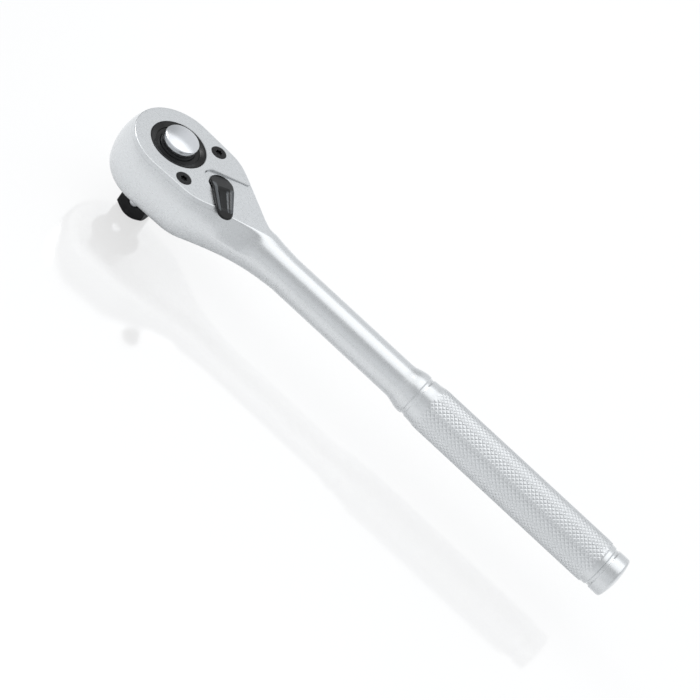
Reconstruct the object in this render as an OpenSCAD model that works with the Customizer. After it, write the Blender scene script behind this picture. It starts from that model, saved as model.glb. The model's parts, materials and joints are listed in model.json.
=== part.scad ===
// Reversible ratchet wrench with a pear-shaped head, a push-button square drive and a knurled steel handle.
// Millimetres. The origin is on the drive axis, at the shoulder that a socket seats on.
// +X runs along the handle, +Z points up through the release button.

/* [Square drive] */
// Side of the square drive
drive_size = 12.7; // [12:0.1:14]
// Length of the square below its shoulder
drive_len = 15.4; // [14.5:0.1:18]
// Radius of the turned flat on the end of the square
drive_tip_r = 6.1; // [5.4:0.1:6.2]
// Radius that the corners of the square are turned down to
drive_corner_r = 8.6; // [8:0.1:8.9]

/* [Head] */
// Largest radius of the head, at mid height
head_r = 21.3; // [20.5:0.1:24]
// Height of the head, from its underside to the top of the cover
head_h = 23; // [22.5:0.1:26]
// Radius of the head at the edge of its top and underside
head_edge_r = 18.8; // [18.4:0.1:20]
// Chamfer round the underside of the head and neck
foot_chamfer = 3; // [1:0.1:3.4]
// How far the drive shoulder stands below the head
shoulder_proud = 0.8; // [0.4:0.1:1.5]

/* [Neck and handle] */
// Where the sides of the head start to taper into the neck
neck_start = 20; // [19:0.5:23]
// Where the neck has become the round shank
neck_end = 60; // [54:1:80]
// Radius of the round shank
shank_r = 7.7; // [6.5:0.1:8.4]
// Distance from the drive axis to the end of the handle
handle_end = 236; // [210:1:300]
// Radius over the crests of the knurled grip
grip_r = 9.7; // [9.5:0.1:12]
// Length of the knurled grip
grip_len = 87; // [60:0.5:110]
// Radius of the collars at the two ends of the grip
collar_r = 9.1; // [8.8:0.1:9.4]
// Depth of the turned grooves beside the collars
groove_depth = 0.5; // [0.2:0.1:1]

/* [Cover plate] */
// Thickness of the cover plate
cover_t = 1.6; // [1.5:0.1:2.4]
// How far the top of the neck lies below the top of the cover
neck_drop = 0.4; // [0.3:0.1:0.7]
// Half of the angle between the edges of the notch round the lever
notch_half_angle = 30; // [28:1:36]
// Corner radius at the root of the notch
notch_root_r = 3.6; // [3:0.1:4.2]
// How far the cover reaches along the neck
cover_reach = 29.5; // [27:0.5:32]
// Angle of the screws off the handle line, about the drive axis
screw_angle = 48; // [46:1:54]
// Radius of the screw heads
screw_head_r = 3.2; // [2.8:0.1:3.3]
// Radius of the screw shanks
screw_r = 1.75; // [1.4:0.05:2]
// Length of the screws
screw_len = 6.6; // [5:0.1:7]

/* [Ratchet gear] */
// Number of teeth
gear_teeth = 72; // [60:12:72]
// Radius over the teeth
gear_r = 14; // [13.6:0.1:14.2]
// Depth of the teeth
tooth_depth = 0.8; // [0.6:0.05:0.9]
// Height of the toothed band
gear_face = 10.6; // [9:0.1:11]
// Radius of the journal that turns in the underside of the head
journal_r = 10; // [9.5:0.1:11]
// Radius of the boss that shows in the cover
boss_r = 11.8; // [11:0.1:12.2]

/* [Quick release] */
// Radius of the push button
button_r = 7.5; // [7:0.1:7.8]
// How far the button stands above the cover
button_rise = 4.3; // [3.4:0.1:5]
// Height of the domed top of the button
button_dome = 0.9; // [0.6:0.1:1.6]
// Travel of the button
button_travel = 3; // [2.4:0.1:3.1]
// Radius of the socket-retaining ball
ball_r = 2.5; // [2.3:0.05:2.6]
// How far the ball stands out of the square
ball_out = 1.25; // [1:0.05:1.4]
// Height of the ball above the end of the square
ball_from_tip = 8; // [7.5:0.1:8.5]
// Radius of the recess in the boss that the button works in
recess_r = 9.4; // [9.2:0.1:9.8]

/* [Reversing lever] */
// Gap between the gear teeth and the pawl hub on the lever spindle
hub_gap = 2.2; // [1.8:0.1:2.6]
// Angle of the lever off the handle line, to each side
lever_angle = 52; // [40:1:54]
// Reach of the lever from its pivot to its tip
lever_reach = 19.5; // [17:0.1:23]
// Radius of the round end of the lever
lever_boss_r = 4.9; // [4.6:0.1:5.2]
// Radius of the lever tip
lever_tip_r = 3.2; // [2:0.1:3.4]
// Thickness of the lever tab above the cover
lever_tab_t = 1.4; // [1.3:0.1:2.2]
// Fall of the back of the lever for each millimetre towards its round end
lever_back_slope = 0.28; // [0.2:0.01:0.28]
// Radius of the lever spindle
spindle_r = 3.5; // [3.3:0.05:3.7]

/* [Pawl] */
// Height of the pawl
pawl_h = 8.6; // [7:0.1:9]
// Angle that the pawl rocks to each side
pawl_rock = 4; // [3.8:0.1:4.5]
// Outer radius of the pawl hub
pawl_hub_r = 6.3; // [6.1:0.05:6.4]

/* [Hidden] */
$fn = 64;

satin_steel = "#c9cdd0";
bright_steel = "#e4e6e8";
black_oxide = "#1d1e20";
spring_steel = "#8b8f94";
seal_rubber = "#2b2b2d";

// Clearances: turning pieces, pieces that lie face to face, and room left round moving edges
run_gap = 0.05;
seat_gap = 0.05;
move_gap = 0.25;
overcut = 1;
// Straight sides start this far inside the round that they run on from
blend_in = 0.03;

// Heights of the head
head_z = shoulder_proud;
top_z = head_z + head_h;
axis_z = head_z + head_h / 2;
seat_z = top_z - cover_t;
neck_top_z = top_z - neck_drop;

// Cavity, gear and washer heights
floor_z = head_z + 4;
washer_t = 0.8;
gear_z = floor_z + washer_t + 2 * seat_gap;
gear_top_z = gear_z + gear_face;
cavity_r = gear_r + 0.5;
screw_ring_r = (cavity_r + head_r) / 2;
shoulder_r = gear_r - tooth_depth - 0.2;
shoulder_top_z = seat_z - 0.3;
boss_top_z = top_z - 0.2;
boss_edge = 0.4;
boss_dish = 0.7;
tip_z = -drive_len;
tooth_pitch = 360 / gear_teeth;
tooth_tip_angle = 0.1 * tooth_pitch;

// Drag ring, in a groove round the journal
drag_wire_r = 0.8;
drag_z = head_z + 2;
drag_r = journal_r - drag_wire_r;

// Quick-release heights
retainer_t = 1.4;
retainer_drop = 0.9;
retainer_z = boss_top_z - retainer_drop - retainer_t;
flange_t = 1.2;
flange_z = retainer_z - seat_gap - flange_t;
flange_r = recess_r - 0.5;
spring_room = 7.4;
recess_floor_z = flange_z - spring_room;
ball_z = tip_z + ball_from_tip;
ball_y = drive_size / 2 + ball_out - ball_r;
plunger_r = ball_y - ball_r - 0.03;
plunger_foot_z = ball_z - 1.8;
plunger_neck_r = plunger_r - ball_out - 0.02;
plunger_slope = ball_out / button_travel;
ramp_z = ball_z - 0.5;
ramp_h = (plunger_r - plunger_neck_r) / plunger_slope;
plunger_seat_h = 4;
plunger_bore_foot_z = plunger_foot_z - button_travel - 0.4;
spring_wire_r = 0.5;
spring_turns = 4;
spring_r = (plunger_r + flange_r) / 2;

// Pawl and lever places and heights
lever_x = gear_r + hub_gap + pawl_hub_r;
notch_root_x = (notch_root_r - lever_boss_r - 0.8) / sin(notch_half_angle);
tongue_gap = 0.1;
pawl_z = gear_z + 0.6;
pocket_z = pawl_z - 0.3;
clip_t = 0.6;
clip_z = pawl_z + pawl_h + move_gap;
pocket_top_z = clip_z + clip_t + seat_gap;
pawl_bore_r = spindle_r + 1.3;
pin_z = pawl_z + pawl_h / 2;
pin_r = 1.5;
pin_reach = pawl_bore_r - 0.1;
pin_len = 3.2;
pin_hole_depth = 2.5;
pin_spring_r = 1.05;
pin_spring_wire_r = 0.18;
pin_spring_turns = 5;
lever_foot_z = floor_z - 1.8;
lever_foot_r = spindle_r - 0.7;
tab_z = top_z + move_gap;
pad_from = 25;
pad_to = 43;
pad_back_r = gear_r + 2.6;
pad_teeth_gap = 0.25;
pocket_r = pawl_hub_r + 2;
pocket_back_r = pad_back_r + 2.9;
pocket_half_angle = pad_to + 2 * pawl_rock;

// Neck stations: value at each distance from the drive axis. The neck ends just inside the shank
neck_tail_r = shank_r - 0.03;
bulge_h = (head_h / 2) / sqrt(1 - pow(head_edge_r / head_r, 2));
half_widths = [[0, head_r], [neck_start, head_r - 0.4], [neck_end - 14, shank_r + 1.9],
               [neck_end, neck_tail_r]];
half_heights = [[0, bulge_h], [neck_start, bulge_h - 1.9], [neck_start + 10, shank_r + 8.3],
                [neck_end - 24, shank_r + 6.4], [neck_end - 12, shank_r + 2.2], [neck_end, neck_tail_r]];
neck_flat = 0.88 * neck_tail_r;
foot_flats = [[0, head_h / 2], [neck_start + 2, head_h / 2], [neck_end, neck_flat]];
body_tops = [[0, seat_z + 0.3 - axis_z], [neck_start, neck_top_z - 0.5 - axis_z],
             [cover_reach, neck_top_z - axis_z],
             [neck_end - 20, min(neck_top_z - 0.9 - axis_z, 0.82 * (shank_r + 5))], [neck_end, neck_flat]];
cover_edge = 0.3;
neck_blend = 4;
side_steps = 10;
flat_steps = 6;
station_step = 2.5;

// Value of a station table at x, with its corners rounded over a short length
function station(table, x, d = neck_blend) =
    let (k = min(d, x, max(neck_end - x, 0)))
    (lookup(x - k, table) + 2 * lookup(x - k / 2, table) + 2 * lookup(x, table)
     + 2 * lookup(x + k / 2, table) + lookup(x + k, table)) / 8;

// Share of the way from the flat-topped head section to the round shank section
function roundness(x) =
    let (t = min(1, max(0, (x - neck_end + 24) / 24)))
    t * t * (3 - 2 * t);

// Height over the axis of a top or underside at half width y, part way from flat to round
function crest(x, y, flat) =
    let (h = station(half_heights, x), w = station(half_widths, x))
    flat + roundness(x) * (h * sqrt(max(0, 1 - pow(y / w, 2))) - flat);

// Stretch of the bulged side at x, between two heights over the axis, as [half width, height over the axis]
function bulge(x, low, high) =
    let (w = station(half_widths, x), h = station(half_heights, x), a = asin(low / h), b = asin(high / h))
    [for (i = [0 : side_steps]) let (t = a + (b - a) * i / side_steps) [w * cos(t), h * sin(t)]];

// Right side of the body at x, from the chamfered underside to the edge of the top
function body_side(x) =
    let (foot = station(foot_flats, x), c = foot_chamfer * (1 - 0.6 * roundness(x)))
    let (side = bulge(x, c - foot, station(body_tops, x)), foot_y = side[0][0] - c)
    concat([[foot_y, -crest(x, foot_y, foot)]], side);

// Right side of the cover at x, with its chamfered top edge
function cover_side(x) =
    let (side = bulge(x, seat_z + seat_gap - axis_z, top_z - cover_edge - axis_z))
    concat(side, [[side[side_steps][0] - 1.5 * cover_edge, top_z - axis_z]]);

// Points across a top or underside, from the +Y edge to the -Y edge, ends left out
function across(x, edge_y, flat, up) =
    [for (i = [1 : flat_steps - 1])
        let (y = edge_y * (1 - 2 * i / flat_steps))
        [y, up * crest(x, y, flat)]];

// Closed section from its right side, with the points across its top and underside
function closed(x, side, top, foot) =
    [for (p = concat(side, top, mirrored(side), reversed(foot))) [x, p[0], axis_z + p[1]]];
function mirrored(side) = [for (i = [len(side) - 1 : -1 : 0]) [-side[i][0], side[i][1]]];
function reversed(row) = [for (i = [len(row) - 1 : -1 : 0]) row[i]];

function body_section(x) =
    let (side = body_side(x), top = across(x, side[len(side) - 1][0], station(body_tops, x), 1))
    closed(x, side, top, across(x, side[0][0], station(foot_flats, x), -1));

function cover_section(x) = closed(x, cover_side(x), [], []);

// Middle of a closed section
function middle(ring) = [for (p = ring) 1] * ring / len(ring);

// Solid through a row of sections that stand square to X
module loft(rings) {
    n = len(rings[0]);
    last = len(rings) - 1;
    mid = n * len(rings);
    polyhedron(
        points = concat([for (r = rings) each r], [middle(rings[0]), middle(rings[last])]),
        faces = concat(
            [for (i = [0 : n - 1]) [mid, i, (i + 1) % n]],
            [for (i = [0 : n - 1]) [mid + 1, last * n + (i + 1) % n, last * n + i]],
            [for (k = [0 : last - 1], i = [0 : n - 1])
                let (a = k * n + i, b = k * n + (i + 1) % n) each [[a, b + n, b], [a, a + n, b + n]]]));
}

// Half of the round end of the head, turned about the drive axis from one side of it
module round_end(side) {
    last = len(side) - 1;
    rotate([0, 0, 90])
        rotate_extrude(angle = 180, $fn = 96)
            polygon([for (p = concat([[0, side[0][1]]], side, [[0, side[last][1]]]))
                [p[0], axis_z + p[1]]]);
}

// Outer form of the head and neck, before the seat of the cover is cut
module head_form() {
    steps = ceil(neck_end / station_step);
    round_end(body_side(0));
    loft([for (i = [0 : steps]) body_section(neck_end * i / steps)]);
}

// Outer form of the cover plate
module cover_form() {
    steps = ceil(cover_reach / station_step);
    round_end(cover_side(0));
    loft([for (i = [0 : steps]) cover_section(cover_reach * i / steps)]);
}

// Half outline of the shank, collars, grip and end, as [radius, distance along the handle]
function handle_outline() =
    let (end_ring = 6.6, end_neck = 2.6, end_round = 1.2, end_turn = 70, end_dome = 1.2, groove = 1.5)
    let (collar_len = 3, flare = 7.5, ease = 1.4)
    let (grip_stop = handle_end - end_ring - groove - end_neck, grip_start = grip_stop - grip_len)
    let (collar_start = grip_start - ease - collar_len, lead = collar_start - groove)
    let (flare_start = lead - flare - 1.8, swell = collar_r - shank_r)
    let (root_r = collar_r - groove_depth)
    concat(
        [[0, neck_end], [shank_r, neck_end]],
        [for (i = [0 : 8]) [shank_r + swell * (1 - cos(180 * i / 8)) / 2, flare_start + flare * i / 8]],
        [[collar_r, lead - 0.5], [root_r, lead], [root_r, collar_start - 0.5],
         [collar_r - 0.1, collar_start], [collar_r + 0.1, collar_start + collar_len],
         [grip_r, grip_start], [grip_r, grip_stop - ease / 2],
         [collar_r, grip_stop + ease / 2], [collar_r, grip_stop + end_neck - 0.4],
         [root_r, grip_stop + end_neck],
         [root_r, handle_end - end_ring - 0.5], [collar_r, handle_end - end_ring]],
        [for (i = [0 : 4]) let (a = end_turn * i / 4)
            [collar_r - end_round * (1 - cos(a)),
             handle_end - end_dome - end_round * (sin(end_turn) - sin(a))]],
        [for (i = [1 : 5]) let (t = 1 - i / 5)
            [(collar_r - end_round * (1 - cos(end_turn))) * t, handle_end - end_dome * t * t]]);

module handle() {
    translate([0, 0, axis_z])
        rotate([0, 90, 0])
            rotate_extrude($fn = 96)
                polygon(handle_outline());
}

// Sector of a ring about the drive axis, open on the handle side, between two radii
module ring_sector(r_in, r_out, half_angle, z, h) {
    far = 2 * r_out;
    translate([0, 0, z])
        intersection() {
            difference() {
                cylinder(r = r_out, h = h);
                translate([0, 0, -overcut]) cylinder(r = r_in, h = h + 2 * overcut);
            }
            linear_extrude(h)
                polygon([[0, 0], far * [cos(half_angle), -sin(half_angle)], [far, 0],
                         far * [cos(half_angle), sin(half_angle)]]);
        }
}

module at_lever() {
    translate([lever_x, 0, 0]) children();
}

module at_screw(side) {
    translate(screw_ring_r * [cos(screw_angle), side * sin(screw_angle), 0]) children();
}

// Forged body: head, neck, shank and grip in one piece, with its cavity, pawl pocket and tapped holes
module body() {
    color(satin_steel)
        difference() {
            union() {
                head_form();
                handle();
            }
            cover_seat();
            at_lever() translate([0, 0, seat_z - 0.1]) cylinder(r = lever_boss_r + move_gap, h = head_h);
            translate([0, 0, floor_z]) cylinder(r = cavity_r, h = head_h);
            translate([0, 0, -overcut]) cylinder(r = journal_r + run_gap, h = head_h);
            at_lever() translate([0, 0, pocket_z]) cylinder(r = pocket_r, h = pocket_top_z - pocket_z);
            ring_sector(cavity_r - overcut, pocket_back_r, pocket_half_angle, pocket_z, clip_z - pocket_z);
            at_lever() translate([0, 0, pocket_z]) cylinder(r = spindle_r + run_gap, h = head_h);
            at_lever()
                translate([0, 0, lever_foot_z - 0.3]) cylinder(r = lever_foot_r + run_gap, h = head_h / 2);
            for (side = [-1, 1])
                at_screw(side)
                    translate([0, 0, top_z - screw_len - 0.5]) cylinder(r = screw_r + run_gap, h = head_h);
        }
}

// Half width at x of the tongue of the neck that fills the mouth of the notch
function tongue_y(x) =
    (x - lever_x - notch_root_x) * tan(notch_half_angle)
    + (notch_root_r - tongue_gap) / cos(notch_half_angle);

// Seat of the cover: what rises above it goes, but for the tongue behind the lever
module cover_seat() {
    far = 2 * head_r;
    end = cover_reach + tongue_gap;
    translate([0, 0, seat_z])
        linear_extrude(head_h)
            polygon([[-far, -far], [end, -far], [end, -tongue_y(end)], [lever_x, -tongue_y(lever_x)],
                     [lever_x, tongue_y(lever_x)], [end, tongue_y(end)], [end, far], [-far, far]]);
}

// Notch in the cover: a rounded root and two straight edges that open towards the neck
module notch() {
    far = 2 * head_r;
    touch = (notch_root_r - blend_in) * [-sin(notch_half_angle), cos(notch_half_angle)];
    run = far * [cos(notch_half_angle), sin(notch_half_angle)];
    at_lever()
        translate([notch_root_x, 0, seat_z - overcut]) {
            cylinder(r = notch_root_r, h = cover_t + 2 * overcut);
            linear_extrude(cover_t + 2 * overcut)
                polygon([[touch[0], -touch[1]], [touch[0] + run[0], -touch[1] - run[1]],
                         [touch[0] + run[0], touch[1] + run[1]], touch]);
        }
}

// Cover plate, flush with the sides of the head, held by two countersunk screws
module head_cover() {
    color(satin_steel)
        difference() {
            cover_form();
            translate([0, 0, seat_z - overcut]) cylinder(r = boss_r + 0.2, h = head_h);
            notch();
            for (side = [-1, 1])
                at_screw(side) translate([0, 0, top_z]) screw_form(run_gap);
        }
}

// Countersunk screw, its head face at the origin, grown all round by a gap
module screw_form(gap) {
    head = screw_head_r + gap;
    shank = screw_r + gap;
    rotate_extrude()
        polygon([[0, -screw_len - gap], [shank, -screw_len - gap], [shank, -(head - shank) - 0.2],
                 [head, -0.2], [head, overcut * sign(gap)], [0, overcut * sign(gap)]]);
}

module cover_screw(side) {
    lobe_r = 0.36;
    socket_r = 1.15;
    color(black_oxide)
        at_screw(side)
            translate([0, 0, top_z])
                difference() {
                    screw_form(0);
                    translate([0, 0, -1.1]) cylinder(r = socket_r, h = head_h);
                    for (a = [0 : 60 : 300])
                        rotate(a) translate([socket_r, 0, -1.1]) cylinder(r = lobe_r, h = head_h);
                }
}

// Outline of the gear teeth, or of the space that they need, grown outwards by a gap
function tooth_points(from, to, gap) =
    [for (i = [from : to], p = [[gear_r + gap, -tooth_tip_angle], [gear_r + gap, tooth_tip_angle],
                                [gear_r - tooth_depth + gap, tooth_pitch / 2]])
        p[0] * [cos(i * tooth_pitch + p[1]), sin(i * tooth_pitch + p[1])]];

// Square drive with turned-down corners and a chamfered end
module drive_square() {
    slope = drive_corner_r - drive_tip_r;
    intersection() {
        translate([-drive_size / 2, -drive_size / 2, tip_z])
            cube([drive_size, drive_size, drive_len + overcut]);
        rotate_extrude()
            polygon([[0, tip_z], [drive_tip_r, tip_z], [drive_corner_r, tip_z + slope],
                     [drive_corner_r, overcut], [0, overcut]]);
    }
}

// Ratchet gear, journal, boss and square drive in one piece
module drive_gear() {
    color(black_oxide)
        difference() {
            union() {
                drive_square();
                cylinder(r = journal_r, h = gear_z + overcut);
                translate([0, 0, gear_z])
                    linear_extrude(gear_face) polygon(tooth_points(0, gear_teeth - 1, 0));
                translate([0, 0, gear_top_z - overcut])
                    cylinder(r = shoulder_r, h = shoulder_top_z - gear_top_z + overcut);
                translate([0, 0, shoulder_top_z - overcut])
                    cylinder(r = boss_r, h = boss_top_z - boss_edge - shoulder_top_z + overcut);
                translate([0, 0, boss_top_z - boss_edge])
                    cylinder(r1 = boss_r, r2 = boss_r - boss_edge, h = boss_edge);
            }
            translate([0, 0, recess_floor_z]) cylinder(r = recess_r, h = head_h);
            translate([0, 0, boss_top_z - boss_dish])
                cylinder(r1 = recess_r, r2 = 2 * (boss_r - boss_edge) - recess_r, h = 2 * boss_dish);
            translate([0, 0, plunger_bore_foot_z])
                cylinder(r = plunger_r + run_gap, h = recess_floor_z - plunger_bore_foot_z + overcut);
            translate([0, 0, ball_z]) rotate([90, 0, 0]) cylinder(r = ball_r + run_gap, h = ball_y);
            translate([0, -ball_y, ball_z]) sphere(r = ball_r + run_gap);
            translate([0, 0, drag_z])
                rotate_extrude()
                    translate([drag_r - drag_wire_r - run_gap, -drag_wire_r - run_gap])
                        square([drag_wire_r * 2 + overcut, 2 * (drag_wire_r + run_gap)]);
        }
}

// Hardened washer that the gear turns on
module gear_washer() {
    color(spring_steel)
        translate([0, 0, floor_z + seat_gap])
            difference() {
                cylinder(r = cavity_r - 0.3, h = washer_t);
                translate([0, 0, -overcut]) cylinder(r = journal_r + 0.3, h = washer_t + 2 * overcut);
            }
}

// Rubber ring that keeps grease in and gives the gear a little drag
module drag_ring() {
    color(seal_rubber)
        translate([0, 0, drag_z]) rotate_extrude() translate([drag_r, 0]) circle(r = drag_wire_r);
}

// Ring pressed into the boss, which stops the button coming out
module button_retainer() {
    color(black_oxide)
        translate([0, 0, retainer_z])
            difference() {
                cylinder(r = recess_r - run_gap, h = retainer_t);
                translate([0, 0, -overcut]) cylinder(r = button_r + 0.15, h = retainer_t + 2 * overcut);
            }
}

// Push button: a flange below the retainer, a straight side and a shallow dome
module release_button() {
    rim_z = top_z + button_rise - button_dome;
    dome_steps = 8;
    crown = [for (i = [1 : dome_steps]) let (a = 90 * i / dome_steps)
        [button_r * cos(a), rim_z + button_dome * sin(a)]];
    color(bright_steel)
        difference() {
            rotate_extrude()
                polygon(concat([[0, flange_z], [flange_r, flange_z], [flange_r, flange_z + flange_t],
                                [button_r, flange_z + flange_t], [button_r, rim_z]], crown));
            translate([0, 0, flange_z - overcut])
                cylinder(r = plunger_r + 0.02, h = plunger_seat_h + overcut);
        }
}

// Plunger pressed into the button: its neck lets the ball drop in, its ramp pushes the ball out
module release_plunger() {
    neck_z = ramp_z + ramp_h;
    neck_top_z = ball_z + button_travel + ball_r + 0.4;
    top = flange_z + plunger_seat_h - seat_gap;
    color(spring_steel)
        rotate_extrude()
            polygon([[0, plunger_foot_z], [plunger_r, plunger_foot_z], [plunger_r, ramp_z],
                     [plunger_neck_r, neck_z], [plunger_neck_r, neck_top_z],
                     [plunger_r, neck_top_z + plunger_r - plunger_neck_r], [plunger_r, top], [0, top]]);
}

// Wire wound into a plain helical spring that stands on z = 0
module coil(r, wire_r, turns, height) {
    rings_per_turn = 8;
    sides = 6;
    rings = rings_per_turn * turns;
    rise = height - 2 * wire_r;
    points = [for (k = [0 : rings], j = [0 : sides - 1])
        let (a = 360 * k / rings_per_turn, b = 360 * j / sides, q = r + wire_r * cos(b))
        [q * cos(a), q * sin(a), wire_r + rise * k / rings + wire_r * sin(b)]];
    echo(coil_gap = rise / turns - 2 * wire_r);
    polyhedron(
        points = points,
        faces = concat(
            [for (j = [1 : sides - 2]) [0, j, j + 1]],
            [for (j = [1 : sides - 2]) [rings * sides, rings * sides + j + 1, rings * sides + j]],
            [for (k = [0 : rings - 1], j = [0 : sides - 1])
                let (a = k * sides + j, b = k * sides + (j + 1) % sides)
                each [[a, a + sides, b + sides], [a, b + sides, b]]]));
}

// Spring that lifts the button
module plunger_spring() {
    color(spring_steel)
        translate([0, 0, recess_floor_z + seat_gap])
            coil(spring_r, spring_wire_r, spring_turns, spring_room - 2 * seat_gap);
}

// Ball that holds a socket on the square
module detent_ball() {
    color(bright_steel) translate([0, -ball_y, ball_z]) sphere(r = ball_r);
}

// One toothed pad of the pawl, drawn in mesh with the gear on the -Y side
module pawl_pad() {
    first = round(pad_from / tooth_pitch);
    last = floor(pad_to / tooth_pitch);
    teeth = tooth_points(-last, -first, pad_teeth_gap);
    back = [for (i = [0 : 6]) let (a = -pad_from - (pad_to - pad_from) * i / 6)
        (i < 5 ? pad_back_r : gear_r + 1.3) * [cos(a), sin(a)]];
    clear = -(first - 1) * tooth_pitch - tooth_tip_angle;
    heel = (gear_r + pad_teeth_gap) * [cos(clear), sin(clear)];
    wall_r = (pawl_hub_r + pawl_bore_r) / 2;
    arm = [for (a = [205, 250]) [lever_x, 0] + wall_r * [cos(a), sin(a)]];
    translate([0, 0, pawl_z]) linear_extrude(pawl_h) polygon(concat(teeth, [heel], arm, back));
}

// Double-ended pawl that rocks on the lever spindle
module pawl() {
    color(black_oxide)
        at_lever()
            rotate(-pawl_rock)
                difference() {
                    union() {
                        translate([0, 0, pawl_z]) cylinder(r = pawl_hub_r, h = pawl_h);
                        rotate(pawl_rock) translate([-lever_x, 0, 0]) pawl_pad();
                        mirror([0, 1, 0]) rotate(pawl_rock) translate([-lever_x, 0, 0]) pawl_pad();
                    }
                    translate([0, 0, pawl_z - overcut]) cylinder(r = pawl_bore_r, h = pawl_h + 2 * overcut);
                }
}

// Places children on the lever spindle, +X along the lever at rest
module along_lever() {
    at_lever() rotate(-lever_angle) children();
}

// Reversing lever: round end, thumb tab and spindle in one piece
module reversing_lever() {
    tip_x = lever_reach - lever_tip_r;
    lean = asin((lever_boss_r - lever_tip_r) / tip_x);
    side = [sin(lean), cos(lean)];
    boss = lever_boss_r - blend_in;
    tip = lever_tip_r - blend_in;
    tab_top = tab_z + lever_tab_t;
    boss_foot = seat_z + move_gap;
    ramp_start = 0.9 * lever_boss_r;
    ramp_end = -lever_boss_r - overcut;
    ramp_foot = tab_top - lever_back_slope * (ramp_start - ramp_end);
    scoop_start = lever_boss_r;
    scoop_r = 7.5;
    scoop_tip_r = 4;
    scoop_depth = 0.5 * lever_tab_t;
    scoop_tip_depth = 0.25 * lever_tab_t;
    scoop_len = lever_reach - scoop_start + overcut;
    scoop_fall = scoop_r - scoop_depth - scoop_tip_r + scoop_tip_depth;
    color(black_oxide)
        along_lever()
            difference() {
                union() {
                    translate([0, 0, lever_foot_z]) cylinder(r = lever_foot_r, h = tab_z - lever_foot_z);
                    translate([0, 0, pocket_z + move_gap])
                        cylinder(r = spindle_r, h = tab_z - pocket_z - move_gap);
                    translate([0, 0, boss_foot]) cylinder(r = lever_boss_r, h = tab_top - boss_foot);
                    translate([tip_x, 0, tab_z]) cylinder(r = lever_tip_r, h = lever_tab_t);
                    translate([0, 0, tab_z])
                        linear_extrude(lever_tab_t)
                            polygon([boss * side, [tip_x, 0] + tip * side,
                                     [tip_x + tip * side[0], -tip * side[1]],
                                     [boss * side[0], -boss * side[1]]]);
                }
                rotate([90, 0, 0])
                    linear_extrude(2 * lever_boss_r + overcut, center = true)
                        polygon([[ramp_start, tab_top], [ramp_start, tab_top + overcut],
                                 [ramp_end, tab_top + overcut], [ramp_end, ramp_foot]]);
                translate([scoop_start, 0, tab_top + scoop_r - scoop_depth])
                    rotate([0, 90 + atan(scoop_fall / scoop_len), 0])
                        cylinder(r1 = scoop_r, r2 = scoop_tip_r, h = norm([scoop_len, scoop_fall]));
                translate([-spindle_r - overcut, 0, pin_z])
                    rotate([0, 90, 0])
                        cylinder(r = pin_r + run_gap, h = spindle_r + overcut + pin_hole_depth);
                translate([0, 0, clip_z - seat_gap])
                    difference() {
                        cylinder(r = spindle_r + overcut, h = clip_t + 2 * seat_gap);
                        translate([0, 0, -overcut]) cylinder(r = spindle_r - 0.6, h = clip_t + 3 * overcut);
                    }
            }
}

// Open clip in the spindle groove, which keeps the lever in the head
module lever_clip() {
    mouth = 1.5 * spindle_r;
    color(spring_steel)
        along_lever()
            translate([0, 0, clip_z])
                difference() {
                    cylinder(r = spindle_r + 1.2, h = clip_t);
                    translate([0, 0, -overcut])
                        cylinder(r = spindle_r - 0.6 + run_gap, h = clip_t + 2 * overcut);
                    translate([0, -mouth / 2, -overcut]) cube([2 * spindle_r, mouth, clip_t + 2 * overcut]);
                }
}

// Round-nosed pin that the spring presses against the pawl
module pawl_plunger() {
    nose = pin_r;
    color(bright_steel)
        along_lever()
            translate([-pin_reach, 0, pin_z])
                rotate([0, 90, 0]) {
                    intersection() {
                        translate([0, 0, nose]) sphere(r = nose);
                        cylinder(r = nose, h = nose);
                    }
                    translate([0, 0, nose]) cylinder(r = pin_r, h = pin_len - nose);
                }
}

// Spring behind the pin, in the cross hole of the spindle
module pawl_spring() {
    room = pin_hole_depth + pin_reach - pin_len;
    color(spring_steel)
        along_lever()
            translate([pin_len - pin_reach + seat_gap, 0, pin_z])
                rotate([0, 90, 0])
                    coil(pin_spring_r, pin_spring_wire_r, pin_spring_turns, room - 2 * seat_gap);
}

body();
head_cover();
cover_screw(1);  // cover_screw_left
cover_screw(-1);  // cover_screw_right
drive_gear();
gear_washer();
drag_ring();
release_button();
release_plunger();
plunger_spring();
button_retainer();
detent_ball();
pawl();
pawl_plunger();
pawl_spring();
reversing_lever();
lever_clip();
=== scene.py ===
# %% [markdown]
# # A ratchet wrench in satin chrome
# This lesson dresses a imported CAD model of a half-inch drive ratchet wrench. The CAD gives every piece its
# place and its joints. Here each piece that shows gets its fine edges, its knurl and its finish, in the same
# frame: metres, the drive axis on Z, the handle along +X. We start by loading the frame.

# %% Load the frame
import json
import math

import bmesh
import bpy
from mathutils import Matrix, Vector

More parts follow.
